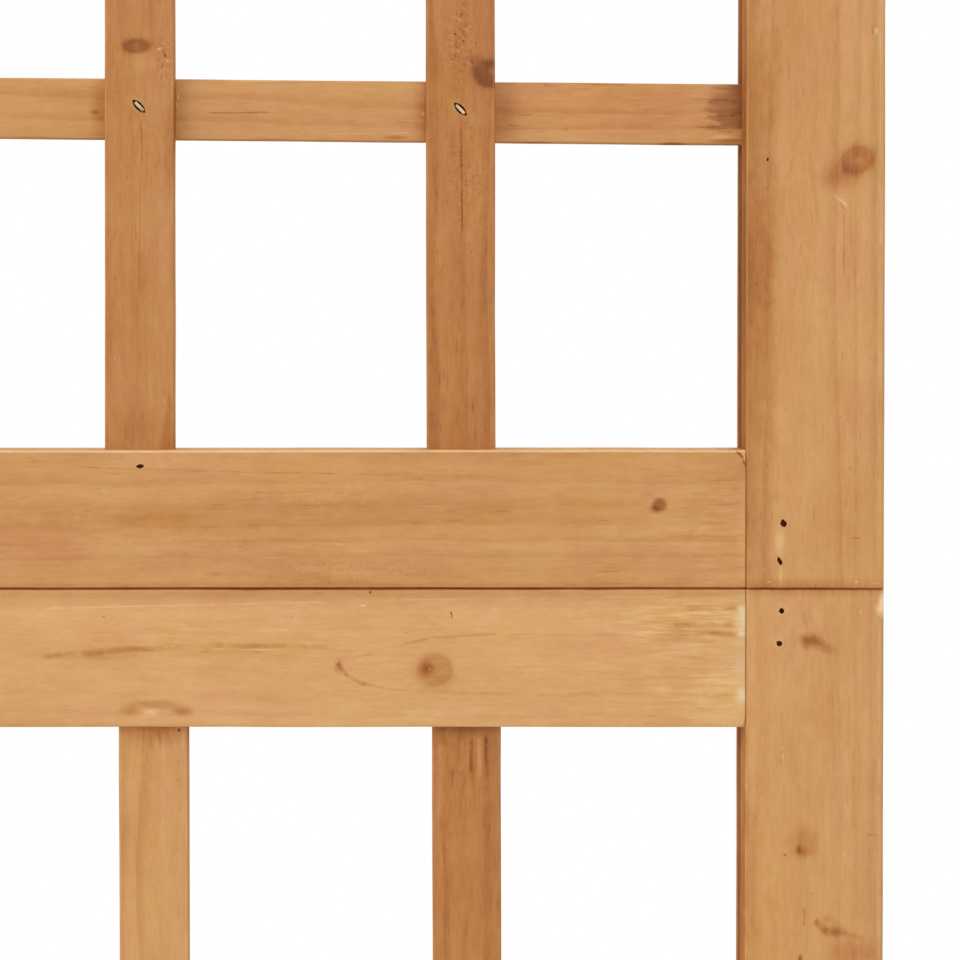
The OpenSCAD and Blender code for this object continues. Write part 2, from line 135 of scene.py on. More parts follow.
# %% Node arithmetic
class Signal:
    """The output of a node, as a number to reckon with."""

    def __init__(self, nodes, socket):
        self.nodes = nodes
        self.socket = socket

    def math(self, operation, *others):
        return self.nodes.node("ShaderNodeMath", {"operation": operation}, self, *others)

    def sockets(self):
        """All the outputs of the same node."""
        return [Signal(self.nodes, socket) for socket in self.socket.node.outputs if socket.enabled]

    def __add__(self, other):
        return self.math("ADD", other)

    def __mul__(self, other):
        return self.math("MULTIPLY", other)

    def __sub__(self, other):
        return self.math("SUBTRACT", other)

    def __truediv__(self, other):
        return self.math("DIVIDE", other)

    def __rsub__(self, other):
        return self * -1 + other

    def __abs__(self):
        return self.math("ABSOLUTE")

    __radd__ = __add__
    __rmul__ = __mul__


class Nodes:
    """The nodes of a world or a material."""

    def __init__(self, owner):
        owner.use_nodes = True
        self.tree = owner.node_tree

    def fill(self, socket, value):
        if isinstance(value, Signal):
            self.tree.links.new(value.socket, socket)
        else:
            socket.default_value = value

    def node(self, kind, settings, *values, output=0):
        made = self.tree.nodes.new(kind)
        for setting, value in settings.items():
            if setting == "stops":
                self.set_stops(made.color_ramp.elements, value)
            else:
                setattr(made, setting, value)
        for socket, value in zip([s for s in made.inputs if s.enabled], values):
            if value is not None:
                self.fill(socket, value)
        return Signal(self, made.outputs[0]).sockets()[output]

    def set_stops(self, elements, stops):
        while len(elements) < len(stops):
            elements.new(0.5)
        for element, (place, colour) in zip(elements, stops):
            element.position = place
            element.color = colour

    def attribute(self, name):
        return self.node("ShaderNodeAttribute", {"attribute_name": name}, output=1)

    def parts(self, vector):
        """The three numbers of a vector."""
        return self.node("ShaderNodeSeparateXYZ", {}, vector).sockets()

    def vector(self, x, y, z):
        return self.node("ShaderNodeCombineXYZ", {}, x, y, z)

    def length(self, vector):
        return self.node("ShaderNodeVectorMath", {"operation": "LENGTH"}, vector)

    def noise(self, place, along, across, detail=2.0, roughness=0.5, up=None):
        """Cloudy noise, -0.5 to 0.5, with its lumps a metre along x, across it, and up z if that differs."""
        sizes = (along, across, up or across)
        stretched = self.node("ShaderNodeVectorMath", {"operation": "MULTIPLY"}, place, sizes)
        return self.node("ShaderNodeTexNoise", {}, stretched, 1.0, detail, roughness) - 0.5

    def rise(self, signal, low, high):
        """0 below low, 1 above high, and a smooth slope between them. High may be the lower one."""
        settings = {"interpolation_type": "SMOOTHSTEP"}
        if high > low:
            return self.node("ShaderNodeMapRange", settings, signal, low, high, 0.0, 1.0)
        return self.node("ShaderNodeMapRange", settings, signal, high, low, 1.0, 0.0)

    def blend(self, factor, one, other, how="MIX"):
        """Two colours mixed."""
        return self.node("ShaderNodeMix", {"data_type": "RGBA", "blend_type": how}, factor, one, other)


class Finish(Nodes):
    """A material on one Principled shader, whose changing parts are worked out by nodes."""

    def __init__(self, name, **constants):
        self.material = bpy.data.materials.new(name)
        super().__init__(self.material)
        self.shader = self.tree.nodes["Principled BSDF"]
        for socket, value in constants.items():
            self.set(socket.replace("_", " ").title().replace("Ior", "IOR"), value)

    def set(self, socket, value):
        self.fill(self.shader.inputs[socket], value)

    def bump(self, height, distance):
        self.set("Normal", self.node("ShaderNodeBump", {}, None, distance, None, height))


def srgb(red, green, blue):
    """A colour as a picture stores it, 0 to 255, in the linear numbers that shaders take."""
    parts = [value / 255 for value in (red, green, blue)]
    linear = [part / 12.92 if part < 0.04045 else ((part + 0.055) / 1.055) ** 2.4 for part in parts]
    return (*linear, 1)


print("classes for a signal, a tree of nodes and a finish")

# %% [markdown]
# ## The studio
#
# The background is white and the light is soft. The world shows white to the camera and in reflections, and
# gives the rest of the scene a weaker, even light. Two broad lamps in front and one behind add some
# direction. The floor is a pale disc that takes the screen's shadow and fades to the white of the
# background before its rim.

# %% Studio
WORLD_LIGHT = 0.62
FLOOR_RADIUS, FLOOR_SIDES = 1.66, 96
FADE_START = 0.95
FADE_END = 1.61
FLOOR_GREY = (0.86, 0.86, 0.86, 1)
WHITE = (1, 1, 1, 1)

bpy.context.scene.view_settings.view_transform = "Standard"
world = bpy.data.worlds.new("studio")
bpy.context.scene.world = world
sky = Nodes(world)
rays = {ray.socket.name: ray for ray in sky.node("ShaderNodeLightPath", {}).sockets()}
seen = rays["Is Camera Ray"]
for ray in ("Is Glossy Ray", "Is Transmission Ray"):
    seen = seen.math("MAXIMUM", rays[ray])
level = sky.node("ShaderNodeMapRange", {}, seen, 0.0, 1.0, WORLD_LIGHT, 1.0)
backdrop = sky.tree.nodes["Background"].inputs
sky.fill(backdrop["Color"], WHITE)
sky.fill(backdrop["Strength"], level)

bpy.ops.object.select_all(action="DESELECT")
bpy.ops.mesh.primitive_circle_add(vertices=FLOOR_SIDES, radius=FLOOR_RADIUS, fill_type="NGON")
floor = bpy.context.object
floor.name = "floor"
paper = Finish("floor_paper", roughness=0.9, base_color=FLOOR_GREY)
spot = paper.node("ShaderNodeTexCoord", {}, output=3)
fade = paper.rise(paper.length(spot), FADE_START, FADE_END)
camera_ray = paper.node("ShaderNodeLightPath", {})
white = paper.node("ShaderNodeEmission", {}, WHITE, 1.0)
lit = Signal(paper, paper.shader.outputs[0])
surface = paper.node("ShaderNodeMixShader", {}, fade * camera_ray, lit, white)
paper.fill(paper.tree.nodes["Material Output"].inputs["Surface"], surface)
floor.data.materials.append(paper.material)

LAMP_AIM_Z = 0.9
# Each lamp: its name, its place, the x it looks at, its width in metres and its power in watts
LAMPS = (
    ("front_left", (-1.6, -3.2, 3.0), 0.1, 2.4, 62),
    ("front_right", (2.6, -2.6, 2.4), 0.1, 2.0, 40),
    ("behind", (0.6, 3.4, 2.8), 0.0, 2.6, 70),
)
for name, place, aim_x, size, watts in LAMPS:
    light = bpy.data.lights.new(name, "AREA")
    light.shape = "DISK"
    light.size = size
    light.energy = watts
    lamp = bpy.data.objects.new(name, light)
    bpy.context.scene.collection.objects.link(lamp)
    lamp.location = place
    lamp.rotation_euler = (Vector((aim_x, 0, LAMP_AIM_Z)) - Vector(place)).to_track_quat("-Z", "Y").to_euler()
print("floor", FLOOR_RADIUS, "m in radius,", len(LAMPS), "lamps")

# %% [markdown]
# ## Picking and cutting, as by hand
#
# An operator acts on what is selected. `only` selects objects, and `pick` selects one object's edges or
# faces by a rule on their places. `modify` adds a modifier and applies it, and `cut` takes one solid from
# another.

# %% Hand tools
NEAR_ENOUGH = 0.02 * MM
MERGE_WITHIN = 0.001 * MM


def only(*things):
    bpy.ops.object.select_all(action="DESELECT")
    for thing in things:
        thing.select_set(True)
    bpy.context.view_layer.objects.active = things[0]


def mode(name):
    bpy.ops.object.mode_set(mode=name)


def edit_all(solid):
    """Opens a solid with all of it selected."""
    only(solid)
    mode("EDIT")
    bpy.ops.mesh.select_all(action="SELECT")


def pick(solid, kind, rule):
    """Selects what the rule accepts: an EDGE by its two ends, or a FACE by its middle and normal."""
    mode("EDIT")
    bpy.ops.mesh.select_mode(type=kind)
    bpy.ops.mesh.select_all(action="DESELECT")
    mode("OBJECT")
    corners = solid.data.vertices
    if kind == "EDGE":
        for edge in solid.data.edges:
            edge.select = rule(*(corners[i].co for i in edge.vertices))
    else:
        for face in solid.data.polygons:
            face.select = rule(face.center, face.normal)
    mode("EDIT")


def block(name, size, place=(0, 0, 0)):
    """A plain block to start a piece from."""
    bpy.ops.object.select_all(action="DESELECT")
    bpy.ops.mesh.primitive_cube_add(size=1, location=place)
    solid = bpy.context.object
    solid.name = solid.data.name = name
    solid.scale = size
    bpy.ops.object.transform_apply(location=True, rotation=False, scale=True)
    return solid


def copy_of(thing, name, matrix=Matrix()):
    """A copy with its own mesh, placed by moving its points."""
    made = thing.copy()
    made.data = thing.data.copy()
    made.name = made.data.name = name
    bpy.context.scene.collection.objects.link(made)
    made.data.transform(matrix)
    return made


def merged_copy(node, name):
    """A free copy of a node of the measured model, with its doubled points merged, left open for editing."""
    copy = copy_of(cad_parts[node], name)
    copy.parent = None
    edit_all(copy)
    bpy.ops.mesh.remove_doubles(threshold=MERGE_WITHIN)
    return copy


def joined(things, name):
    only(*things)
    if len(things) > 1:
        bpy.ops.object.join()
    things[0].name = things[0].data.name = name
    return things[0]


def remove(*things):
    for thing in things:
        bpy.data.objects.remove(thing)


def modify(solid, kind, **settings):
    only(solid)
    modifier = solid.modifiers.new("step", kind)
    for setting, value in settings.items():
        setattr(modifier, setting, value)
    bpy.ops.object.modifier_apply(modifier="step")


def cut(solid, tool, operation="DIFFERENCE"):
    """The cut takes on the tool's finish, where the tool has one."""
    how = "TRANSFER" if tool.data.materials else "INDEX"
    modify(solid, "BOOLEAN", operation=operation, object=tool, solver="EXACT", material_mode=how)
    remove(tool)


def smooth(solid, degrees):
    only(solid)
    bpy.ops.object.shade_smooth_by_angle(angle=math.radians(degrees))


def near(value, target):
    return abs(value - target) < NEAR_ENOUGH


print("hand tools ready")

# %% [markdown]
# ## A planed board
#
# Every stick of the screen is a planed board with eased edges. On the bench, its grain runs along x, its
# front is at -y, and the edge that faces the panel's middle is at +z. The block is cut into short lengths,
# so that it can bend a little later, then its four long edges are rounded and its end rims are barely
# chamfered. That is done once for each size of board, and the boards themselves are copies.

# %% Board blanks
BEND_STEP = 10 * MM
ARRIS_STEPS = 4
END_CHAMFER = 0.2 * MM
FRAME_ARRIS = 1.2 * MM
SLAT_ARRIS = 0.8 * MM
SLAT_THICKNESS = 5 * MM
UPRIGHT_WIDTH = 24 * MM
CROSS_WIDTH = 21 * MM
GROOVE_DEPTH = 16 * MM
GROOVE_WIDTH = 5.2 * MM
UPRIGHT_LAYER, CROSS_LAYER = -SLAT_THICKNESS / 2, SLAT_THICKNESS / 2
RELIEF_WIDTH, RELIEF_HEIGHT, RELIEF_DEPTH = 2.8 * MM, 4.8 * MM, 1.2 * MM
RELIEF_SIDES = 48
BEYOND = 2 * MM


def blank(name, size, arris):
    length, thickness, width = size
    solid = block(name, size)
    pick(solid, "EDGE", lambda a, b: abs(a.x - b.x) > length / 2)
    bpy.ops.mesh.subdivide(number_cuts=round(length / BEND_STEP) - 1)

    def on_corner(point):
        return near(abs(point.y), thickness / 2) and near(abs(point.z), width / 2)

    pick(solid, "EDGE", lambda a, b: on_corner(a) and on_corner(b) and not near(a.x, b.x))
    bpy.ops.mesh.bevel(offset=arris, segments=ARRIS_STEPS, affect="EDGES")
    pick(solid, "EDGE", lambda a, b: near(abs(a.x), length / 2) and near(a.x, b.x))
    bpy.ops.mesh.bevel(offset=END_CHAMFER, segments=1, affect="EDGES")
    mode("OBJECT")
    return solid


def frame_blank(name, size, layer):
    """A blank with a groove for one layer of slats, whose middle is at y = layer."""
    solid = blank(name, size, FRAME_ARRIS)
    groove_size = (size[0] + 2 * BEYOND, GROOVE_WIDTH, GROOVE_DEPTH + BEYOND)
    cut(solid, block("groove", groove_size, (0, layer, STOCK_WIDTH / 2 - (GROOVE_DEPTH - BEYOND) / 2)))
    return solid


rail_low, rail_high = panel_box("right", "right_upper_middle_rail")
RAIL_LENGTH = 2 * STILE_INNER_X
STILE_SIZE = (TIER_HEIGHT, STOCK_THICKNESS, STOCK_WIDTH)
RAIL_SIZE = (RAIL_LENGTH, STOCK_THICKNESS, STOCK_WIDTH)
stile_blank = frame_blank("stile_blank", STILE_SIZE, CROSS_LAYER)
rail_blank = frame_blank("rail_blank", RAIL_SIZE, UPRIGHT_LAYER)
tenon_size = (rail_high.x - rail_low.x, SLAT_THICKNESS, STOCK_WIDTH - GROOVE_DEPTH)
cut(rail_blank, block("tenon", tenon_size, (0, CROSS_LAYER, -GROOVE_DEPTH / 2)), "UNION")

# The curved relief at each inner corner of a rail is a small block less an oval disc
for end in (1, -1):
    centre = Vector(
        (end * (RAIL_LENGTH / 2 - RELIEF_WIDTH), -STOCK_THICKNESS / 2, STOCK_WIDTH / 2 - RELIEF_HEIGHT)
    )
    out = Vector((end * (RELIEF_WIDTH + BEYOND), 0, RELIEF_HEIGHT + BEYOND))
    corner = block("corner", (abs(out.x), 2 * RELIEF_DEPTH, out.z), centre + out / 2)
    bpy.ops.mesh.primitive_cylinder_add(
        vertices=RELIEF_SIDES, radius=1, depth=20 * MM, location=centre, rotation=(math.pi / 2, 0, 0)
    )
    round_corner = bpy.context.object
    round_corner.scale = (RELIEF_WIDTH, RELIEF_HEIGHT, 1)
    bpy.ops.object.transform_apply()
    cut(corner, round_corner)
    cut(rail_blank, corner)
print("rail", round(RAIL_LENGTH / MM, 1), "mm, and with its tenons", round(tenon_size[0] / MM, 1), "mm")

# %% [markdown]
# ## Where the slats and nails are
#
# The slats lean and stand off their even places a little, as nailed by hand. Their places are read off the
# measured model: a copy of a node is merged, split into its loose parts and measured, and then thrown away.

# %% Places of the loose parts
def loose_parts(panel, node):
    """The points of each loose part of a node, in its panel's own frame."""
    merged_copy(node, "measured")
    bpy.ops.mesh.separate(type="LOOSE")
    mode("OBJECT")
    parts = list(bpy.context.selected_objects)
    found = [points_in_panel(panel, part.data) for part in parts]
    remove(*parts)
    return sorted(found, key=lambda points: tuple(points.mean(axis=0).round(3)))


def slat_line(points, axis):
    """The middle of each end of a slat that runs along axis 0 (across) or 2 (up)."""
    places = points[:, axis]
    return [Vector(points[abs(places - end) < MM].mean(axis=0)) for end in (places.min(), places.max())]


def board_frame(start, end):
    """The bench frame of a board whose grain runs from start to end, in its panel's frame."""
    along = (end - start).normalized()
    through = Vector((0, 1, 0))
    turn = Matrix((along, through, along.cross(through))).transposed().to_4x4()
    return Matrix.Translation((start + end) / 2) @ turn


upright_lines = {}
cross_lines = {}
for panel in PANEL_TURN:
    for tier in ("upper", "lower"):
        upright_lines[panel, tier] = [slat_line(p, 2) for p in loose_parts(panel, f"{panel}_{tier}_uprights")]
        cross_lines[panel, tier] = sorted(
            (slat_line(p, 0) for p in loose_parts(panel, f"{panel}_{tier}_cross_slats")),
            key=lambda line: abs(line[0].z - JOINT_Z),
        )


def slat_size(lines, width):
    start, end = lines["right", "upper"][0]
    return ((end - start).length, SLAT_THICKNESS, width)


UPRIGHT_SIZE = slat_size(upright_lines, UPRIGHT_WIDTH)
CROSS_SIZE = slat_size(cross_lines, CROSS_WIDTH)
upright_blank = blank("upright_blank", UPRIGHT_SIZE, SLAT_ARRIS)
cross_blank = blank("cross_blank", CROSS_SIZE, SLAT_ARRIS)
print({place: len(lines) for place, lines in cross_lines.items()}, "cross slats")


# %% Places of the nails
def nail_places(panel, node):
    """For each nail: its head's middle, the direction of its long side, and 1 if driven from the front."""
    places = []
    for points in loose_parts(panel, node):
        depths = points[:, 1]
        front, back = (points[abs(depths - level) < 0.01 * MM] for level in (depths.min(), depths.max()))
        from_front = np.ptp(front, axis=0).sum() > np.ptp(back, axis=0).sum() or "staples" in node
        head = front if from_front else back
        middle = head.mean(axis=0)
        spread = head - middle
        far = spread[np.argmax((spread**2).sum(axis=1))]
        close = spread[np.argmin(abs(spread @ far))]
        side = far - close if abs((far - close) @ far) > abs((far + close) @ far) else far + close
        places.append((Vector(middle), Vector(side).normalized(), 1 if from_front else -1))
    return places


staple_places = {panel: nail_places(panel, f"{panel}_staples") for panel in PANEL_TURN}
brad_places = {panel: nail_places(panel, f"{panel}_brads") for panel in PANEL_TURN}
print(len(staple_places["right"]), "staples and", len(brad_places["right"]), "brads a panel")

# %% [markdown]
# ## Stained fir
#
# The boards are fir, planed and sanded, then dipped in a honey-coloured stain. Seen close, the wood is
# smooth and low in contrast: short fine fibres, faint wide bands, a few thin growth rings, and knots with a
# darker rim.
#
# All of these are one thing on the real board: how dark the stain took. So the finish adds up one number,
# the tone, and a single ramp of colours turns it into the colour of the wood. Each board carries its own
# bench coordinates as an attribute, so the grain follows it however it is turned, and a place in an endless
# piece of wood, so no two boards are alike.

# %% Stain and wood
# Stain colours, from raw pale wood to a burnt dark brown
STAIN = (
    (0.0, srgb(240, 210, 172)),
    (0.2, srgb(222, 179, 129)),
    (0.35, srgb(209, 160, 105)),
    (0.5, srgb(194, 140, 86)),
    (0.65, srgb(176, 115, 61)),
    (0.78, srgb(145, 87, 41)),
    (0.9, srgb(98, 48, 14)),
    (1.0, srgb(46, 17, 4)),
)
RED_STAIN = srgb(255, 226, 226)
GOLD_STAIN = srgb(253, 252, 232)
GREY_STAIN = srgb(224, 236, 240)


class Wood(Finish):
    """What a board's finish starts from: where a point is, and the noises that its marks are made with."""

    def __init__(self, name, tone, vary=0.0):
        super().__init__(name, roughness=0.5, specular_ior_level=0.22)
        # This factor scales both the stain soaked up at the ends and the painted shade on the edge faces.
        self.soak_and_edge_shade = 1.0
        self.u, self.t, self.w = self.parts(self.attribute("bench_place"))
        self.wood = self.attribute("place_in_wood")
        self.half_u, self.half_t, self.half_w = self.parts(self.attribute("half_size"))
        self.number, self.pith_t, self.pith_w = self.parts(self.attribute("pith_side"))
        self.ragged = self.noise(self.wood, 150, 260, 3.0, 0.65)
        self.wander = self.noise(self.wood, 45, 45, 1.0)
        self.broken = self.rise(self.noise(self.wood, 90, 150, 3.0, 0.7), -0.22, 0.14)
        self.streaks = self.noise(self.wood, 45, 520, 3.0, 0.6)
        self.bristles = self.noise(self.wood, 75, 760, 2.0, 0.65)
        self.blisters = self.noise(self.wood, 900, 900, 2.0, 0.6)
        self.flow = self.w
        self.bulge = 0.0
        self.tone = tone
        self.red = 0.0
        self.grey = 0.0
        if vary:
            luck = self.node("ShaderNodeTexWhiteNoise", {"noise_dimensions": "1D"}, self.number)
            self.tone = (luck - 0.5) * vary + tone


print(len(STAIN), "stain colours")

# %% [markdown]
# ## Tools for marks
#
# On the real board a mark is a stain, a rub or a knot, and each has its own rim: soft, ragged or streaked
# along the fibres. Painting them would need a picture for each board. So each kind is a mask, worked out
# from a place and a size, which adds to the tone, and for some also to the red or grey of the stain. Places
# are in millimetres on the panel's front, and width and height are an oval's.

# %% Mark tools
class MarkedWood(Wood):
    """Wood with a method for each kind of mark. Its to_bench turns the panel's frame to the board's."""

    def share(self, x, z, width, height, lean):
        """A point's place in an oval, as a share of its half size. Lean is in degrees from the panel's x."""
        middle = self.to_bench @ Vector((x * MM, 0, z * MM))
        lean = math.radians(lean)
        way = self.to_bench.to_3x3() @ Vector((math.cos(lean), 0, math.sin(lean)))
        return self.node(
            "ShaderNodeMapping",
            {"vector_type": "TEXTURE"},
            self.vector(self.u, self.w, 0.0),
            (middle.x, middle.z, 0),
            (0, 0, math.atan2(way.z, way.x)),
            (width / 2 * MM, height / 2 * MM, 1),
        )

    def oval(self, x, z, width, height, lean=0.0):
        """How far a point is from an oval's middle: 1 on its rim."""
        return self.length(self.share(x, z, width, height, lean))

    def darken(self, mask, tone, red=0.0, grey=0.0):
        self.tone += mask * tone
        if red:
            self.red += mask * red
        if grey:
            self.grey += mask * grey

    def blot(self, x, z, width, height, tone, soft=0.6, ragged=0.35, lean=0.0, streaky=0.0, **tints):
        """A stained or rubbed patch. Streaky draws its rim out along the fibres."""
        rim = self.oval(x, z, width, height, lean) + self.ragged * ragged * 2
        if streaky:
            rim += self.streaks * streaky * 2
        self.darken(self.rise(rim, 1.0 + soft * 0.3, 1.0 - soft), tone, **tints)

    def stroke(self, x, z, end_x, end_z, width, tone, wavy=0.5, **tints):
        """A thin line along the grain, such as a ring, a crack or a scratch."""
        start, end = Vector((x, z)), Vector((end_x, end_z))
        run = end - start
        lean = math.degrees(math.atan2(run.y, run.x))
        along, across, _ = self.parts(self.share(*(start + end) / 2, run.length, width, lean))
        off = abs(across + self.wander * (wavy * 2 / width))
        self.darken(self.rise(off, 1.5, 0.2) * self.rise(abs(along), 1.02, 0.8) * self.broken, tone, **tints)

    def rub(self, x, z, width, height, tone):
        """A patch rubbed through in streaks."""
        patch = self.rise(self.oval(x, z, width, height) + self.ragged * 0.6, 1.2, 0.3)
        self.darken(patch * self.rise(self.streaks + self.ragged * 0.5, -0.04, 0.2), tone)

    def brush(self, x, z, width, height, tone):
        """A patch of short dark and pale streaks, as from a dry brush."""
        patch = self.rise(self.oval(x, z, width, height) + self.ragged * 0.8, 1.2, 0.2)
        self.tone += patch * self.bristles * tone

    def speckle(self, x, z, width, height, tone):
        """A patch of tiny blisters in the stain, some dark and some pale."""
        patch = self.rise(self.oval(x, z, width, height) + self.ragged, 1.2, 0.3)
        dark = self.rise(self.blisters, 0.06, 0.18)
        pale = self.rise(self.blisters, -0.08, -0.2)
        self.tone += patch * (dark - pale) * tone

    def knot(self, x, z, width, height, tone, lean=0.0):
        """A soft knot of a known place and size, darker by tone than the wood."""
        share = self.oval(x, z, width, height, lean) + self.ragged * 0.45 + self.wander * 0.5
        halo = self.rise(share, 2.3, 0.8)
        disc = self.rise(share, 1.35, 0.7)
        rim = self.rise(share, 0.2, 0.8) * self.rise(share, 1.35, 0.8)
        self.tone += (halo * 0.2 + disc * 0.75 + rim * 0.2) * tone


print("six kinds of mark")

# %% [markdown]
# ## Grain and knots
#
# A growth ring is a shell round the pith, and a board is a flat cut through many shells. So the rings are
# counted from the distance to a pith line beside the board, bent a little by noise, and the arches and
# stripes come by themselves. Boards that the picture doesn't show get knots here and there, and their rings
# flow round them.

# %% Fir
RING_GAP = 3.6 * MM
CELL_LENGTH, CELL_WIDTH = 170 * MM, 60 * MM
CELL_RANDOMNESS = 0.6
KNOT_CHANCE = 0.6


class Fir(MarkedWood):
    """Stained fir. A known board's finish also takes its bench frame and a function that adds its marks."""

    def __init__(self, name, tone, vary=0.0, place=None, marks=None):
        super().__init__(name, tone, vary)
        if marks:
            self.to_bench = place.inverted()
            marks(self)
        else:
            self.scattered_knots()
        self.grain()
        self.edges()
        self.colour()

    def scattered_knots(self):
        """At most one knot in each cell of a stretched grid, where the cell's chance is high enough."""
        wood_u, _, wood_w = self.parts(self.wood)
        grid = self.vector(wood_u / CELL_LENGTH, 0.0, wood_w / CELL_WIDTH)
        cell = self.node("ShaderNodeTexVoronoi", {}, grid, 1.0, None, None, None, CELL_RANDOMNESS)
        _, luck, place = cell.sockets()
        knot_u, _, knot_w = self.parts(place)
        chance, size, strength = self.parts(luck)
        away_u, away_w = wood_u - knot_u * CELL_LENGTH, wood_w - knot_w * CELL_WIDTH
        away = self.length(self.vector(away_u * 0.85, 0.0, away_w))
        radius = (size * 4.4 + 1.6) * MM
        there = self.rise(chance, KNOT_CHANCE, KNOT_CHANCE + 0.02)
        share = away / radius + self.ragged * 0.35 + self.wander * 0.3 + self.rise(there, 1.0, 0.0) * 5
        dark = strength * 0.8 + 0.4
        halo = self.rise(share, 2.4, 0.9)
        disc = self.rise(share, 1.12, 0.82)
        rim = self.rise(share, 0.45, 0.85) * self.rise(share, 1.2, 0.95)
        heart = self.rise(share, 0.5, 0.05)
        self.tone += (halo * 0.05 + disc * 0.16 + rim * 0.09 + heart * 0.04) * dark
        self.red += disc * 0.35 * dark
        self.bulge += halo * radius * 1.2
        self.flow -= away_w * halo * 0.5

    def grain(self):
        wood_u, wood_t, wood_w = self.parts(self.wood)
        streamed = self.vector(wood_u, wood_t, wood_w - self.w + self.flow)
        drift = self.noise(streamed, 5, 22) * 9 * MM
        ripple = self.noise(streamed, 30, 90) * 1.4 * MM
        deep = self.t + self.pith_t + drift
        side = self.flow + self.pith_w
        radius = (deep * deep + side * side).math("SQRT")
        rings = (radius + ripple + self.bulge) / RING_GAP
        count = rings.math("FLOOR")
        part = rings - count
        strength = self.node("ShaderNodeTexWhiteNoise", {"noise_dimensions": "1D"}, count + self.number)
        late_wood = self.rise(part, 0.4, 0.9) * self.rise(part, 1.0, 0.9) * strength
        patchy = self.noise(streamed, 14, 60) + 0.55
        fibre = self.noise(streamed, 170, 1000, 2.0, 0.6)
        dash = self.noise(streamed, 60, 420, 2.0, 0.6)
        streak = self.noise(streamed, 14, 200)
        band = self.noise(streamed, 4, 60)
        cloud = self.noise(self.wood, 30, 55, 4.0, 0.68)
        mottle = self.noise(self.wood, 330, 480, 2.0, 0.6)
        warmth = self.noise(self.wood, 25, 60, 4.0, 0.65)
        tick = self.rise(self.noise(streamed, 110, 1300, 1.0), 0.17, 0.32)
        pore = self.rise(self.noise(streamed, 330, 900, 1.0), 0.26, 0.34)
        fleck = self.rise(self.noise(streamed, 230, 700, 1.0), -0.29, -0.35)
        self.tone = (
            self.tone
            + late_wood * patchy * 0.14
            + fibre * 0.11
            + dash * 0.11
            + streak * 0.06
            + band * 0.12
            + cloud * 0.2
            + mottle * 0.06
            + tick * (patchy + 0.2) * 0.13
            + pore * 0.16
            - fleck * 0.14
        )
        self.red += self.rise(warmth, -0.05, 0.3) * 0.35
        self.gold = self.rise(warmth, 0.08, -0.25)
        self.height = fibre * 0.5 + dash * 0.3 - late_wood * 0.2 - pore * 0.5

    def edges(self):
        """Pale worn arrises, ends that soaked up more stain, and duller edge faces with painted shade, darker
        and warmer.
        """
        from_face = self.half_t - abs(self.t)
        from_edge = self.half_w - abs(self.w)
        from_end = self.half_u - abs(self.u)
        from_arris = from_face.math("MAXIMUM", from_edge)
        worn = self.rise(from_arris, 0.9 * MM, 0.35 * MM) * self.rise(self.wander, -0.25, 0.2)
        soaked = self.rise(from_end, 4 * MM, 0.0) * 0.06 + self.rise(from_end, 0.7 * MM, 0.1 * MM) * 0.26
        # The narrow edge faces get painted shade, a darker and warmer tone, against the pale sheen they catch
        # side-on.
        edge_face_shade = self.rise(from_edge, 0.25 * MM, 0.05 * MM) * self.soak_and_edge_shade
        self.tone = self.tone - worn * 0.13 + soaked * self.soak_and_edge_shade + edge_face_shade * 0.05
        self.red += edge_face_shade * 0.25
        self.gold += edge_face_shade * 1.2
        self.matt = edge_face_shade * 0.35

    def colour(self):
        stain = self.node("ShaderNodeValToRGB", {"stops": STAIN}, self.tone)
        stain = self.blend(self.gold.math("MINIMUM", 1.0), stain, GOLD_STAIN, "MULTIPLY")
        stain = self.blend(self.red.math("MINIMUM", 1.0), stain, RED_STAIN, "MULTIPLY")
        if isinstance(self.grey, Signal):
            stain = self.blend(self.grey, stain, GREY_STAIN, "MULTIPLY")
        self.set("Base Color", stain)
        self.set("Roughness", self.matt - self.height * 0.2 + 0.52)
        self.bump(self.height, 0.12 * MM)


WOOD = {
    "stile": Fir("fir_stile", 0.47, vary=0.12),
    "rail": Fir("fir_rail", 0.44, vary=0.14),
    "upright": Fir("fir_upright", 0.55, vary=0.2),
    "cross_slat": Fir("fir_cross", 0.49, vary=0.14),
}
print(len(WOOD["stile"].tree.nodes), "nodes in a fir finish")

# %% [markdown]
# ## The marks of the boards in the picture
#
# The picture shows nine boards from close by, and each has its own knots, rings, rubs and stains, added one
# at a time to the shared wood. A blot is an oval patch and has a middle and a size. A stroke is a thin line
# and has two ends and a width. Then comes the tone, where a plus is darker, and after it how soft and how
# ragged a blot is, or how wavy a stroke.

# %% Marks on the right stile's two halves
def each(mark, *rows):
    """Makes the same kind of mark for each row of numbers. A row may end with settings by name."""
    for row in rows:
        named = row[-1] if isinstance(row[-1], dict) else {}
        mark(*(part for part in row if part is not named), **named)


# Pale lines down the panel's outer arris, tinted grey and red: a painted highlight.
def outer_arris_highlights(wood, top, bottom):
    each(
        wood.stroke,
        (196.8, top, 196.8, bottom, 1.7, -0.08, 0.1, {"grey": 0.7, "red": 0.2}),
        (198.3, top, 198.3, bottom, 1.6, -0.14, 0.1, {"red": 0.4}),
        (199.4, top, 199.4, bottom, 1.2, -0.1, 0.1, {"grey": 0.9}),
    )


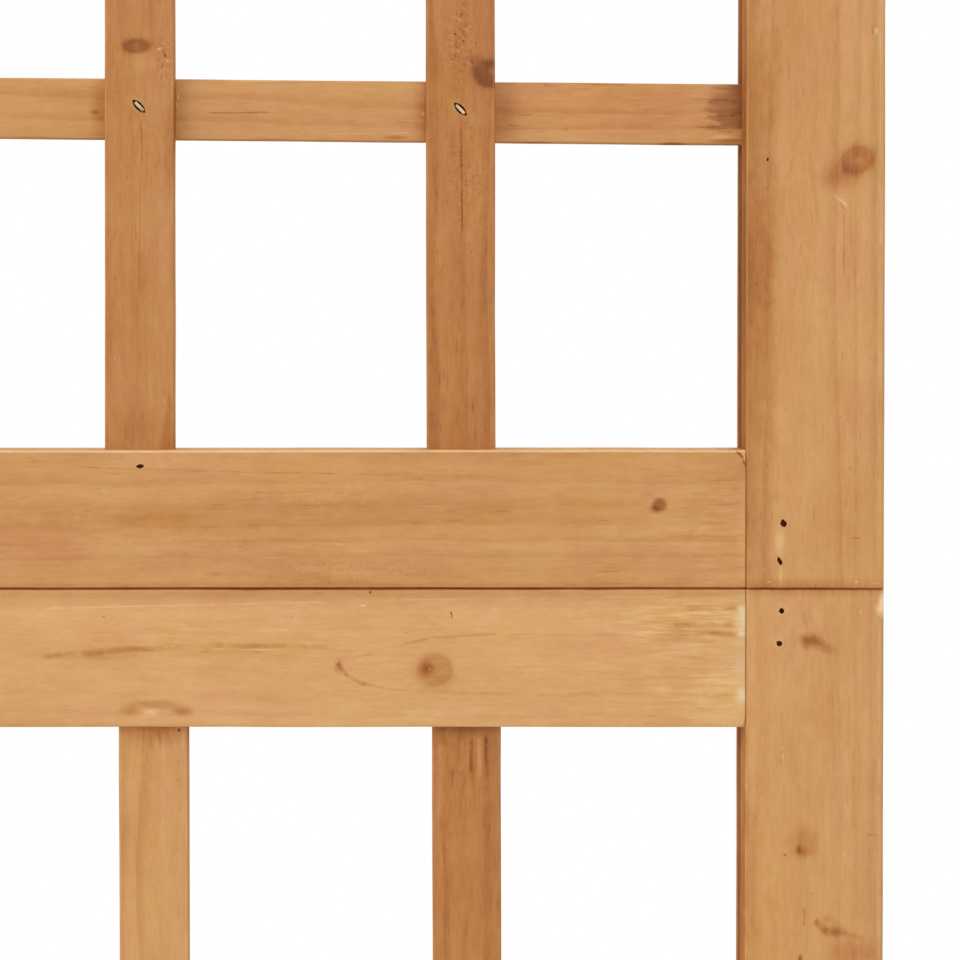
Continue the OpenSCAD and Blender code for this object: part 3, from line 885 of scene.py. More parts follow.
def marks_of_upper_stile(wood):
    wood.knot(190.2, 997.7, 13.2, 10.6, 0.12, lean=20)
    arch = ((163.6, 968), (165, 990), (169.8, 1001), (175, 992), (177.5, 972))
    for start, end in zip(arch, arch[1:]):
        wood.stroke(*start, *end, 1.5, 0.05)
    outer_arris_highlights(wood, 1100.5, 851.2)
    each(
        wood.blot,
        (153.4, 963, 19, 300, 0.18, 1, {"grey": 0.2}), (192.1, 949.8, 10.3, 262.1, -0.03, 1),
        (172.4, 1015.3, 15.9, 65.5, 0.04, 1), (183.8, 992.2, 15.2, 12.4, 0.17, 1),
        (190.4, 997.8, 12.6, 10, 0.08, 0.25, 0.15, {"lean": 20, "red": 0.35}),
        (190.4, 997.6, 4.4, 3, -0.08, 1, {"lean": 20}), (159.3, 998.1, 0.9, 1.4, 0.4),
        (154, 961, 17, 46, 0.04, 0.3, 0.5), (163.6, 866.3, 4, 13, -0.14, 0.9),
        (164.1, 855, 1.7, 7.6, -0.12, 0.9), (160, 852.4, 1.4, 0.7, -0.25),
        (196.5, 852, 3, 0.6, -0.12, 0.6, 0.9), (190.2, 852.4, 1.4, 1, -0.25),
        (176, 850.4, 60, 0.8, 0.08, 0.8, 0.2, {"red": 0.7}), (196.6, 1042.2, 1.4, 3, -0.22, 0.8),
        # The soft dark band just above the tier joint, at 174.8, 851.2, is painted shade.
        (174.8, 851.2, 58.6, 6.2, 0.1, 1),
    )
    each(
        wood.stroke,
        (182.2, 986.1, 186.9, 982, 1.2, -0.19, 0.3), (184, 983.6, 186, 980.6, 0.8, 0.16, 0.2),
        (185.5, 980.7, 185.8, 956.4, 0.65, 0.16), (189.6, 984.3, 190, 851.2, 0.86, 0.07),
        (195.3, 1044, 195.3, 1040.8, 0.7, 0.16, 0.2), (195.8, 1044, 198.2, 1043.8, 0.6, 0.16, 0.2),
        (188.6, 867.7, 191.7, 867.7, 0.45, 0.2),
    )


def marks_of_lower_stile(wood):
    wood.red = -0.15
    outer_arris_highlights(wood, 849, 690)
    each(
        wood.blot,
        (164.6, 843.4, 5, 6, -0.09, 1, 0.6), (163.4, 831.5, 5, 5, -0.08, 1, 0.6),
        (174.2, 832, 9.4, 6.2, 0.3, 0.9, 0.6, {"lean": -5}), (173.4, 832.6, 5, 2.6, 0.06, 1),
        (179.8, 829.8, 9, 5, 0.16, 1, 0.7, {"lean": -28}), (177.2, 840.2, 4.8, 9, -0.06, 0.9),
        (171.8, 762.5, 11, 14, 0.16, 1, 0.5), (172.8, 758.8, 6, 5, 0.1, 0.9, {"red": 0.4}),
        (170.5, 759.6, 2.8, 5, 0.2, 1), (165.9, 757.9, 1.2, 1.2, 0.25), (174.9, 744.5, 0.9, 0.8, 0.2),
        (182.9, 731, 9.6, 4.4, 0.18, 0.9, 0.5, {"lean": -8}),
        (180.8, 735.8, 3.6, 3.2, 0.1, 0.8, {"red": 0.2}), (182.8, 731.4, 14, 7, 0.08, 1, {"lean": -15}),
        (190, 723.5, 24, 13, 0.13, 1, {"red": 0.5}), (171.2, 721.6, 2, 4.2, 0.34, 0.8),
        # The soft dark band just below the tier joint, at 174.8, 849.8, is painted shade.
        (199.9, 844.6, 5.4, 12, -0.5, 0.9, 0.7), (174.8, 849.8, 51.7, 5.5, 0.08, 1),
        (190, 790, 22, 160, -0.03, 1), (153.5, 742, 9, 80, 0.08, 1, {"red": 0.3}),
        (158.6, 811.9, 8.3, 69, 0.04, 1),
    )
    each(
        wood.stroke,
        (174.5, 833.9, 171.4, 842.2, 1.6, 0.08), (172.5, 739.6, 172.5, 733.2, 0.8, 0.24),
        (176, 735.2, 180.6, 730.9, 2.5, 0.22, 0.3), (186, 731, 193.8, 728.6, 1.8, 0.12),
        (180.7, 830.8, 180.7, 811.9, 0.52, -0.08), (182.1, 825.7, 182.1, 805, 0.52, 0.08),
        (152.4, 849.1, 152.4, 690.5, 1.7, 0.1, 0.1, {"red": 0.3}),
        (194.4, 764.9, 198.6, 764.5, 0.8, 0.12), (187.8, 815, 187.8, 788, 1, 0.08),
        (189.3, 797, 189.6, 766, 1.6, 0.08), (164.3, 808, 164.3, 788, 0.9, 0.08),
        (182.7, 800, 182.7, 776, 2.2, 0.05),
    )


# The tone and the marks of each board in the picture
KNOWN_BOARDS = {
    "right_upper_right_stile_board": (0.46, marks_of_upper_stile),
    "right_lower_right_stile_board": (0.45, marks_of_lower_stile),
}
print(len(KNOWN_BOARDS), "boards with marks of their own")

# %% Marks on the two middle rails
def marks_of_upper_rail(wood):
    wood.speckle(11, 882, 50, 12, 0.06)
    wood.speckle(12, 857, 80, 12, 0.08)
    wood.speckle(-40, 866, 60, 14, 0.05)
    wood.speckle(160, 870, 16, 30, 0.05)
    wood.brush(135, 872, 44, 44, 0.22)
    wood.brush(15, 870, 200, 40, 0.1)
    wood.rub(142, 862, 24, 30, -0.07)
    # On this rail both the soaked ends and the painted edge shade are weaker.
    wood.soak_and_edge_shade = 0.2
    wood.rub(141, 883, 24, 26, -0.05)
    each(
        wood.blot,
        (122.2, 879, 6.4, 5.8, 0.27, 0.5, 0.4), (120.4, 877.6, 5.4, 3.6, 0.1, 1),
        (117.6, 882.2, 6.9, 4.1, 0.06, 1), (8.6, 875.3, 290, 19, 0.07, 1),
        (-60.4, 874.6, 58.6, 6.2, 0.08, 1), (5.2, 852.9, 41.4, 4.8, 0.07, 1, 0.8),
        (15.5, 860.2, 103.4, 20.7, 0.03, 1), (143.1, 873.9, 20.7, 41.4, 0.03, 1),
        # At 850.3 the dark joint line, and at 851.2 a soft band of painted shade just above it.
        (0, 850.3, 700, 0.75, 0.36, 0.7, 0.1, {"red": 1}), (0, 851.2, 700, 2.4, 0.08, 1, 0.2),
        # At 151.6, 896.2 a pale patch at the corner relief: a painted highlight.
        (0, 897.6, 700, 1.1, -0.32, 0.8, 0.3), (151.6, 896.2, 2.6, 4.4, -0.28, 0.8, 0.2),
        (151, 868, 5, 40, -0.06, 1, 0.7),
    )
    each(
        wood.stroke,
        (-79.3, 892.2, -31.1, 890.8, 0.6, 0.13), (-34.5, 890.8, 39.6, 889.3, 0.6, 0.13),
        (39.6, 889.3, 74.1, 888.8, 0.5, 0.08), (-6.9, 882.6, 2.4, 882.9, 0.5, -0.12),
        (9.6, 865.7, 12.7, 865.3, 0.6, -0.2), (-22.4, 860.8, -5.2, 860.8, 0.5, -0.12),
        (136.2, 887.1, 149.3, 887.7, 0.5, 0.12), (132.7, 882.9, 146.5, 882.2, 0.5, 0.1),
        (137.9, 879.1, 150.7, 879.5, 0.5, 0.1), (136.2, 868.4, 150.7, 867.7, 0.5, 0.1),
        (139.6, 861.5, 151.4, 861.2, 0.5, 0.08),
        # The last two strokes follow the corner relief's curved wall: painted shade.
        (148.6, 897.6, 151, 895.6, 0.9, 0.34, 0.1, {"red": 0.4}),
        (150.6, 896.1, 151.9, 892.2, 0.9, 0.34, 0.1, {"red": 0.4}),
    )


def marks_of_lower_rail(wood):
    wood.knot(44.8, 822.1, 13.2, 12.4, 0.1)
    wood.brush(132, 838, 56, 26, 0.7)
    wood.brush(120, 815, 80, 30, 0.2)
    wood.brush(20, 828, 260, 40, 0.1)
    wood.rub(139, 838, 36, 20, -0.04)
    # On this rail both the soaked ends and the painted edge shade are weaker.
    wood.soak_and_edge_shade = 0.2
    wood.rub(143, 815, 28, 28, -0.12)
    wood.rub(60, 806, 170, 9, -0.06)
    wood.rub(-20, 836, 160, 12, -0.06)
    each(
        wood.blot,
        # The first two rows are soft dark bands along the top edge, just below the tier joint: painted shade.
        (0, 848.9, 700, 5, 0.05, 0.8, {"grey": 0.15}), (0, 847.2, 700, 9, 0.07, 1, 0.5, {"grey": 0.1}),
        (20, 844.3, 2.4, 0.9, -0.2, 0.6, 0.9), (44.8, 822.1, 13.2, 12, 0.08, 0.15, 0.1),
        (42.1, 822.6, 5.6, 6.2, 0.17, 0.9, {"red": 0.5, "grey": 0.2}), (42.9, 822.2, 1, 1, -0.2),
        (11.4, 823.3, 3.4, 6.6, 0.16, 0.9), (-51.7, 810, 23, 4.2, 0.19, 0.9),
        (-60.6, 807.9, 8.8, 4.6, 0.17, 0.9), (-42.8, 807.6, 8.4, 4.2, 0.27, 0.9),
        (-53.6, 807.4, 6.4, 3, -0.2, 0.9, 0.9), (-54, 806.6, 1.6, 0.8, 0.14, 0.9),
        (22.4, 848.8, 1, 1, 0.35), (-69.7, 840.5, 1, 1, 0.25),
        (151.5, 840.2, 7, 16, -0.24, 1, {"streaky": 1.2, "grey": 0.4}),
        (123.1, 815, 7.6, 4.8, -0.08, 0.9),
        (150.8, 812.9, 6, 9, -0.2, 1, {"streaky": 1.2, "grey": 0.3}),
        (141.4, 806.4, 27.6, 5.5, -0.08, 0.9), (144.8, 829.1, 20.7, 44.8, -0.05, 1),
        (0, 849.75, 700, 0.7, 0.26, 0.7, 0.1, {"red": 1}),
        (151.5, 828, 9, 40, -0.14, 1, 0.7, {"grey": 0.4}), (-75, 826.8, 34, 3.4, 0.1, 1, 0.8),
        (-35, 828.4, 60, 3, 0.06, 1, 0.8),
    )
    each(
        wood.stroke,
        (131, 843.2, 150, 843.2, 2, 0.2, {"grey": 0.3}), (126, 838, 149, 838, 2, 0.2, {"grey": 0.3}),
        (134, 834.4, 150, 834.4, 2, 0.2, {"grey": 0.3}),
        (-91.4, 843.3, -25.9, 844.8, 0.6, -0.14), (-27.6, 844.7, 8.6, 845.6, 0.6, -0.14),
        (24.1, 846, 67.2, 846.7, 0.6, -0.13), (65.5, 846.7, 143.1, 847.4, 0.6, -0.1),
        (11, 824.6, 14.5, 819.8, 1.6, 0.24), (13.8, 820.2, 21, 816.7, 1.5, 0.24),
        (19.6, 817.4, 30, 815, 1.08, 0.17), (28.6, 815.3, 46.5, 814.3, 0.94, 0.17),
        (45.2, 814.3, 74.1, 813.6, 0.94, 0.13), (72.4, 813.6, 151.7, 813.6, 0.94, 0.07),
        (11, 825, 25.8, 828.4, 1.22, 0.12), (24.5, 828.1, 43.8, 833.3, 0.94, 0.13),
        (42.4, 833.1, 67.2, 834.6, 0.94, 0.13), (67.2, 834.6, 115.5, 833.9, 0.94, 0.07),
        (-92, 826.6, -56.9, 829.5, 2.2, 0.22), (-60.4, 829.1, -25.2, 830.7, 2, 0.22),
        (-27.6, 830.5, 12.1, 830.1, 1.8, 0.2), (-39.7, 829.1, -27.6, 829.3, 0.5, -0.14),
        (-24.2, 829.1, -5.2, 828.9, 0.5, -0.12), (50.3, 842.2, 50.7, 839.8, 0.7, 0.5),
        (122.4, 822.9, 151.4, 822.2, 0.68, 0.09), (115.5, 811.2, 136.2, 810.8, 0.68, 0.09),
    )


KNOWN_BOARDS["right_upper_middle_rail_board"] = (0.46, marks_of_upper_rail)
KNOWN_BOARDS["right_lower_middle_rail_board"] = (0.36, marks_of_lower_rail)
print(len(KNOWN_BOARDS), "boards with marks of their own, with the rails")

# %% Marks on the slats
def marks_of_left_upright(wood):
    wood.knot(-58.9, 1038.1, 10.6, 5.4, 0.13)
    wood.speckle(-48.6, 1032.6, 10, 22, 0.13)
    wood.speckle(-55, 1008, 18, 30, 0.05)
    each(
        wood.blot,
        (-58.4, 1017.4, 9.5, 5, -0.09, 1, 0.5, {"lean": -45}), (-58.9, 1038, 10.2, 5, 0.06, 0.3, 0.2),
        (-58, 985, 26, 70, -0.03, 1), (-56.2, 1032.8, 15.2, 10.3, -0.04, 1), (-51, 1037, 1.4, 1, -0.25),
        (-48.9, 1034.6, 1, 1.7, 0.25), (-48.2, 1032.8, 1, 1, -0.25), (-50, 1030.7, 1, 1, 0.2),
        (-58, 1015.4, 7.6, 6.9, 0.05, 1), (-58.3, 906.5, 20.7, 13.8, 0.06, 1),
    )
    each(
        wood.stroke,
        (-54.1, 1090.5, -53.8, 1040.5, 1.38, 0.08), (-57.6, 1013.3, -56.9, 995.3, 0.6, 0.14),
        (-57.6, 995.3, -58.3, 950, 0.5, 0.1),
    )


def marks_of_right_upright(wood):
    wood.knot(64.2, 1028.5, 14.8, 11, 0.1)
    wood.speckle(53.4, 1040.8, 13, 36, 0.13)
    wood.speckle(56, 990, 18, 60, 0.07)
    each(
        wood.blot,
        (53.4, 1016.4, 9.5, 5, -0.09, 1, 0.5, {"lean": -45}),
        (64.2, 1028.4, 14.4, 10.4, 0.07, 0.2, 0.12, {"red": 0.15}), (64.6, 1029.4, 4, 3, -0.08, 1),
        (58.9, 1033.5, 6.9, 4.1, 0.08, 1), (51.6, 1042.2, 1, 0.9, 0.2), (54.4, 1039.8, 1, 0.9, 0.2),
        (52.7, 1036.3, 1, 0.9, -0.2), (55.5, 1044, 0.9, 1, -0.2), (50.6, 1033.5, 0.9, 1, 0.2),
        (55.8, 1007.4, 2.1, 6.9, -0.07, 1),
    )
    wood.stroke(53.7, 1012.7, 54.1, 972.6, 0.6, 0.16)


def marks_of_lower_upright(wood):
    wood.brush(-52.6, 797, 24, 14, 0.4)
    each(
        wood.blot,
        # At -52.6, 800.5 a streaky dark patch at the top, under the rail: painted shadow of the rail.
        (-44.7, 800, 1.2, 1.6, 0.4), (-52.6, 800.5, 28, 13, 0.12, 1, {"streaky": 0.8, "red": 0.3}),
    )
    each(
        wood.stroke,
        (-50.4, 796, -50.6, 760, 1.8, -0.05), (-57, 797, -57, 788, 1.2, -0.1),
    )


def marks_of_dark_upright(wood):
    wood.brush(56, 785, 24, 40, 0.25)
    # A soft dark band at the top, under the rail: painted shadow of the rail, with some soaked stain.
    wood.blot(56, 801, 26, 7, 0.08, 1)
    each(
        wood.stroke,
        (50.8, 797, 50.8, 783, 1.7, 0.1), (57.4, 797, 57.4, 785, 1.5, 0.12),
        (62.5, 799, 62.5, 776, 1.5, 0.12), (46.8, 796, 46.8, 768, 3, -0.1),
        (53.7, 797, 53.7, 785, 1.5, -0.08), (60, 798, 60, 783, 1.7, -0.12),
    )


def marks_of_cross_slat(wood):
    wood.brush(100, 1017, 110, 30, 0.12)
    each(
        wood.blot,
        # The tall soft patches at x -72.7, -45.5, 40.6 and 68.4 lie beside the uprights: painted shade from
        # them, with some dirt.
        (-72.7, 1016.9, 7, 30, 0.14, 1), (-74.8, 1015.9, 3.4, 1.7, 0.15),
        (-45.5, 1016.9, 8, 32, 0.06, 1), (-45.4, 1021.2, 0.7, 2.8, -0.25),
        (-45.7, 1018.4, 0.7, 1.7, -0.2), (40.6, 1016.9, 8.4, 32, 0.12, 1, {"red": 0.15}),
        (40.3, 1015.2, 1, 1.7, -0.25), (30.5, 1007.1, 10.3, 1.7, 0.14),
        (68.4, 1017.7, 14, 34, 0.08, 1, {"red": 0.25}), (104, 1018.5, 90, 24, 0.035, 1, {"red": 0.4}),
        (150.6, 1017.8, 24, 23, 0.18, 0.6, 0.8, {"streaky": 0.7, "grey": 0.9, "red": 0.15}),
        (153.6, 1016.6, 15, 34, 0.05, 0.9, 0.5, {"streaky": 0.6, "red": 0.7}),
        # The thin dark marks near z 1005 here, and at 30.5, 1007.1 above, lie along the lower edge: painted
        # shade under the slat.
        (146.5, 1006, 13, 2.4, 0.2, 0.8, {"red": 0.4}), (79.6, 1005, 13.8, 1.7, 0.2),
        (76, 1004.7, 18, 1.5, 0.2, 0.6, 0.5), (127.8, 1004.8, 11.7, 1.7, 0.25),
        (144.6, 1007.1, 8.3, 2.1, -0.12), (106, 1025.7, 20.7, 1.4, 0.1, 0.6, 0.8),
    )
    each(
        wood.stroke,
        (-36.2, 1015.7, -12.7, 1015.9, 0.6, 0.24), (26.3, 1008.7, 35.8, 1008.9, 0.55, -0.15),
        (-2.9, 1008.5, 25.2, 1008.5, 0.45, -0.07), (66.3, 1015.2, 78.6, 1015, 0.5, 0.22),
        (66.3, 1011.7, 74.4, 1011.3, 0.5, 0.14), (135.6, 1010.8, 144.9, 1010.6, 0.8, 0.2),
        (134.1, 1020.5, 148.1, 1020.1, 0.6, 0.16), (139.3, 1014.5, 149.9, 1014.8, 0.7, 0.16),
        (74.4, 1009.6, 120, 1009.4, 0.45, -0.07), (-36.2, 1026.1, 7.7, 1026.4, 0.55, 0.08),
    )


KNOWN_BOARDS["right_upper_upright_1"] = (0.59, marks_of_left_upright)
KNOWN_BOARDS["right_upper_upright_2"] = (0.62, marks_of_right_upright)
KNOWN_BOARDS["right_lower_upright_1"] = (0.43, marks_of_lower_upright)
KNOWN_BOARDS["right_lower_upright_2"] = (0.63, marks_of_dark_upright)
KNOWN_BOARDS["right_upper_cross_slat_1"] = (0.47, marks_of_cross_slat)
print(len(KNOWN_BOARDS), "boards with marks of their own, with the slats")

# %% [markdown]
# ## Nail holes
#
# A nail gun leaves a torn, pointed hole round each crown or head. Each hole is cut from its board by a
# tapered oval tool. The tool has a dark brown finish, painted shade for the depth of the hole, and the cut
# leaves that finish on the hole's walls. A few tools are modelled, and copies of them go to every nail.
# Those for the brads are turned and stretched a little differently.

# %% Tools for the holes
# The holes' walls: dark brown, painted shade for the hole's depth, with a torn bump.
PIT_WALL_SHADE = Finish("pit_wall_painted_shade", roughness=0.9, specular_ior_level=0.1)
torn = PIT_WALL_SHADE.noise(PIT_WALL_SHADE.node("ShaderNodeTexCoord", {}, output=3), 1500, 1500, 3.0)
PIT_WALL_SHADE.set("Base Color", PIT_WALL_SHADE.blend(torn + 0.5, srgb(72, 26, 8), srgb(136, 70, 30)))
PIT_WALL_SHADE.bump(torn, 0.2 * MM)
STAPLE_PIT_SIDES, BRAD_PIT_SIDES = 14, 11
PIT_TAPER = (0.75, 1, 0.85)


def pit_tool(name, length, width, depth, point, tear=0.0, seed=0, sides=STAPLE_PIT_SIDES):
    """An oval with drawn-out points along z, which narrows from the wood's surface at y = 0 towards +y."""
    bpy.ops.object.select_all(action="DESELECT")
    bpy.ops.mesh.primitive_cylinder_add(
        vertices=sides, radius=0.5, depth=2 * depth, rotation=(math.pi / 2, 0, 0)
    )
    tool = bpy.context.object
    tool.name = name
    bpy.ops.object.transform_apply(rotation=True)
    tool.scale = (width, 1, length - 2 * point)
    bpy.ops.object.transform_apply(scale=True)
    for end in (1, -1):
        pick(tool, "EDGE", lambda a, b: all(abs(p.x) < 0.1 * width and p.z * end > 0 for p in (a, b)))
        bpy.ops.transform.translate(value=(0, 0, end * point))
    pick(tool, "FACE", lambda middle, normal: normal.y > 0.9)
    bpy.ops.transform.resize(value=PIT_TAPER)
    if tear:
        bpy.ops.mesh.select_all(action="SELECT")
        bpy.ops.transform.vertex_random(offset=tear, seed=seed)
    mode("OBJECT")
    tool.data.materials.append(PIT_WALL_SHADE.material)
    return tool


STAPLE_PIT = pit_tool("staple_pit", 6.9 * MM, 3.0 * MM, 1.3 * MM, 0.4 * MM)
PIT_LENGTH, PIT_WIDTH, PIT_DEPTH, PIT_POINT, PIT_TEAR = 3 * MM, 2 * MM, 1.6 * MM, 0.3 * MM, 0.28 * MM
BRAD_PITS = [
    pit_tool("brad_pit", PIT_LENGTH, PIT_WIDTH, PIT_DEPTH, PIT_POINT, PIT_TEAR, seed, BRAD_PIT_SIDES)
    for seed in range(4)
]
print(1 + len(BRAD_PITS), "hole tools")


# %% Places of the holes
def nail_matrix(middle, side, facing, sink):
    """Bench frame of a nail: z along its head, y into the wood, and the wood's surface at y = 0."""
    through = Vector((0, facing, 0))
    turn = Matrix((through.cross(side), through, side)).transposed().to_4x4()
    return Matrix.Translation(middle - through * sink) @ turn


draw = random.Random(7)
STAPLE_SINK = 0.5 * MM
BRAD_SINK = 1.0 * MM
HOLE_TURN = math.radians(24)
# The brads' holes in the picture: x and z on the right panel, length, width, and lean from upright in degrees
KNOWN_HOLES = (
    (164.9, 873.0, 3.3, 2.3, 10),
    (163.7, 860.1, 3.9, 1.7, 25),
    (164.5, 842.9, 2.6, 2.1, 0),
    (163.4, 831.5, 2.7, 2.3, 60),
    (-56.8, 892.5, 3.4, 1.5, 90),
)
PUTTY_X, PUTTY_Z = -53.8, 807.5
FOUND_WITHIN = 3


def brad_holes(panel, places):
    """The tool and matrix of each brad's hole. One in the picture is filled with putty, so it isn't cut."""
    holes = []
    for middle, side, facing in places:
        length, width = draw.uniform(2.4, 3.5), draw.uniform(1.6, 2.2)
        side = Matrix.Rotation(draw.uniform(-HOLE_TURN, HOLE_TURN), 3, "Y") @ side

        def is_at(x, z):
            off = math.hypot(middle.x / MM - x, middle.z / MM - z)
            return panel == "right" and facing > 0 and off < FOUND_WITHIN

        if is_at(PUTTY_X, PUTTY_Z):
            continue
        for x, z, known_length, known_width, lean in KNOWN_HOLES:
            if is_at(x, z):
                length, width = known_length, known_width
                side = Vector((-math.sin(math.radians(lean)), 0, math.cos(math.radians(lean))))
        stretch = Matrix.Diagonal((width * MM / PIT_WIDTH, 1, length * MM / PIT_LENGTH, 1))
        holes.append((draw.choice(BRAD_PITS), nail_matrix(middle, side, facing, BRAD_SINK) @ stretch))
    return holes


print(len(KNOWN_HOLES), "holes have sizes of their own")

# %% [markdown]
# ## Setting out the boards
#
# Each board is a copy of its blank. The holes that fall on it are cut, its bench coordinates are written
# down as attributes, and it is turned into place. Last, all boards bend by the same slow wave in space, by
# a fraction of a millimetre, so that edges aren't ruler-straight and pieces that touch still touch.

# %% A board in its place
WAVE = 0.3 * MM
WAVE_SIZE = 45 * MM
HOLE_REACH = 1.2 * MM
BOARD_SMOOTHING = 35
wave_texture = bpy.data.textures.new("wave", "CLOUDS")
wave_texture.cloud_type = "COLOR"
wave_texture.noise_scale = WAVE_SIZE
KINDS = {
    "stile": (stile_blank, STILE_SIZE, "frame"),
    "rail": (rail_blank, RAIL_SIZE, "frame"),
    "upright": (upright_blank, UPRIGHT_SIZE, "lattice"),
    "cross_slat": (cross_blank, CROSS_SIZE, "lattice"),
}


def write_attribute(solid, name, values):
    layer = solid.data.attributes.new(name, "FLOAT_VECTOR", "POINT")
    layer.data.foreach_set("vector", np.asarray(values, dtype=np.float32).ravel())


def bench_notes(solid, size):
    """Writes a board's bench coordinates, sizes and place in the endless wood on its points."""
    place = points_of(solid.data)
    wood_origin = [draw.uniform(-4, 4) for _ in range(3)]
    pith = [draw.uniform(0, 100), draw.uniform(28, 60) * MM, draw.uniform(-22, 22) * MM]
    write_attribute(solid, "bench_place", place)
    write_attribute(solid, "place_in_wood", place + np.array(wood_origin))
    write_attribute(solid, "half_size", np.tile(np.array(size) / 2, (len(place), 1)))
    write_attribute(solid, "pith_side", np.tile(pith, (len(place), 1)))


def finish_piece(piece, body, node):
    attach(piece, body)
    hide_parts(node)


def board(kind, name, panel, start, end, node, holes):
    """One board, whose grain runs from start to end. A hole is a tool and its matrix in the panel's frame."""
    blank_board, size, slot = KINDS[kind]
    place = board_frame(start, end)
    wood = WOOD[kind]
    if name in KNOWN_BOARDS:
        tone, marks = KNOWN_BOARDS[name]
        wood = Fir("fir_" + name, tone, place=place, marks=marks)
    solid = copy_of(blank_board, name)
    solid.data.materials.append(wood.material)
    tools = []
    for tool, matrix in holes:
        on_bench = place.inverted() @ matrix
        spot = on_bench.translation
        if all(abs(spot[axis]) < size[axis] / 2 + HOLE_REACH for axis in range(3)):
            tools.append(copy_of(tool, "tool", on_bench))
    if tools:
        cut(solid, joined(tools, "tools"))
    bench_notes(solid, size)
    solid.data.transform(PANEL_FRAME[panel] @ place)
    modify(
        solid, "DISPLACE", texture=wave_texture, texture_coords="LOCAL", direction="RGB_TO_XYZ", strength=WAVE
    )
    smooth(solid, BOARD_SMOOTHING)
    finish_piece(solid, f"{panel}_panel", node)
    return solid


print(len(KINDS), "kinds of board")

# %% All the boards
boards = []
for panel in PANEL_TURN:
    pits = [(STAPLE_PIT, nail_matrix(*place, STAPLE_SINK)) for place in staple_places[panel]]
    holes = brad_holes(panel, brad_places[panel])
    for tier, up, far_rail in (("upper", 1, "top_rail"), ("lower", -1, "bottom_rail")):
        here = f"{panel}_{tier}"
        joint, far = Vector((0, 0, JOINT_Z)), Vector((0, 0, JOINT_Z + up * TIER_HEIGHT))
        for side, out in (("left", -1), ("right", 1)):
            middle = Vector((out * (PANEL_EDGE_X - STOCK_WIDTH / 2), 0, 0)) + (joint + far) / 2
            reach = Vector((0, 0, out * TIER_HEIGHT / 2))
            node = f"{here}_{side}_stile"
            boards.append(board("stile", node + "_board", panel, middle - reach, middle + reach, node, holes))
        for end, inward, node in ((joint, up, f"{here}_middle_rail"), (far, -up, f"{panel}_{far_rail}")):
            middle = end + Vector((0, 0, inward * STOCK_WIDTH / 2))
            reach = Vector((inward * RAIL_LENGTH / 2, 0, 0))
            boards.append(board("rail", node + "_board", panel, middle - reach, middle + reach, node, holes))
        for kind, lines, nails in (("upright", upright_lines, pits), ("cross_slat", cross_lines, [])):
            for number, (start, end) in enumerate(lines[panel, tier], 1):
                name = f"{here}_{kind}_{number}"
                boards.append(board(kind, name, panel, start, end, f"{here}_{kind}s", nails))
remove(stile_blank, rail_blank, upright_blank, cross_blank, STAPLE_PIT, *BRAD_PITS)
print(len(boards), "boards,", sum(len(solid.data.polygons) for solid in boards), "faces")

# %% [markdown]
# ## Metals
#
# The staples, plates and plate screws are zinc-plated, the brads are rusty steel painted darker as shade in
# their holes, and the hinges and their screws are plated with yellow zinc. The staples get painted shade
# beyond the middle of their crowns. Bare metal is never even: it has cloudy dull patches and fine scratches,
# and both come from noise.

# %% Metal finishes
HEAD_SHADE = srgb(62, 26, 12)
COOL_SHADE = srgb(196, 214, 206)


class Metal(Finish):
    """Plated or bare metal. Painted shade darkens a nail beyond a half width and half length of its head, and
    cools one end.
    """

    def __init__(self, name, bright, dull, roughness, shade_beyond=None):
        super().__init__(name, metallic=1.0)
        place = self.node("ShaderNodeTexCoord", {}, output=3)
        cloud = self.noise(place, 160, 160, 4.0, 0.6)
        scratch = self.noise(place, 2600, 2600, up=260)
        spots = self.rise(self.noise(place, 700, 700), 0.12, 0.3)
        patch = self.rise(cloud, -0.1, 0.3)
        metal = self.blend(patch * 0.7 + spots * 0.3, bright, dull)
        # Painted shade: dark beyond the clear middle of the head, and cooler towards one end.
        if shade_beyond:
            half_width, half_length = shade_beyond
            across, _, along = self.parts(self.attribute("bench_place"))
            edge = self.rise(abs(across), half_width, half_width + 0.25 * MM)
            end = self.rise(abs(along), half_length, half_length + 0.5 * MM)
            cool = self.rise(along, 1.0 * MM, -1.6 * MM) * 0.6
            metal = self.blend(cool, metal, COOL_SHADE, "MULTIPLY")
            metal = self.blend(edge.math("MAXIMUM", end), metal, HEAD_SHADE)
        self.set("Base Color", metal)
        self.set("Roughness", patch * 0.18 + scratch * 0.15 + spots * 0.2 + roughness)
        self.bump(scratch, 0.015 * MM)


# Within this half width and half length a staple's crown is clear of the painted shade.
UNSHADED_CROWN = (0.52 * MM, 1.8 * MM)
ZINC = Metal("zinc", srgb(214, 212, 206), srgb(165, 162, 155), 0.28)
STAPLE_ZINC = Metal("staple_zinc", srgb(190, 164, 138), srgb(138, 112, 88), 0.5, UNSHADED_CROWN)
# The brads: rusty steel, painted darker still as the shade in their holes.
RUSTY_STEEL_SHADED = Metal("rusty_steel_painted_shade", srgb(92, 42, 16), srgb(46, 16, 5), 0.6)
YELLOW_ZINC = Metal("yellow_zinc", srgb(206, 180, 118), srgb(158, 132, 82), 0.28)
print("four metals")

# %% [markdown]
# ## Staples and brads
#
# A staple is a flat wire bent twice. Its crown is a block, cut across near both ends, and the ends'
# undersides are drawn out into legs. A brad is a square wire with a T-shaped head, drawn out of the middle
# of the head's underside. Both get softened corners, and every nail of a panel is a copy set where the
# frame has it.

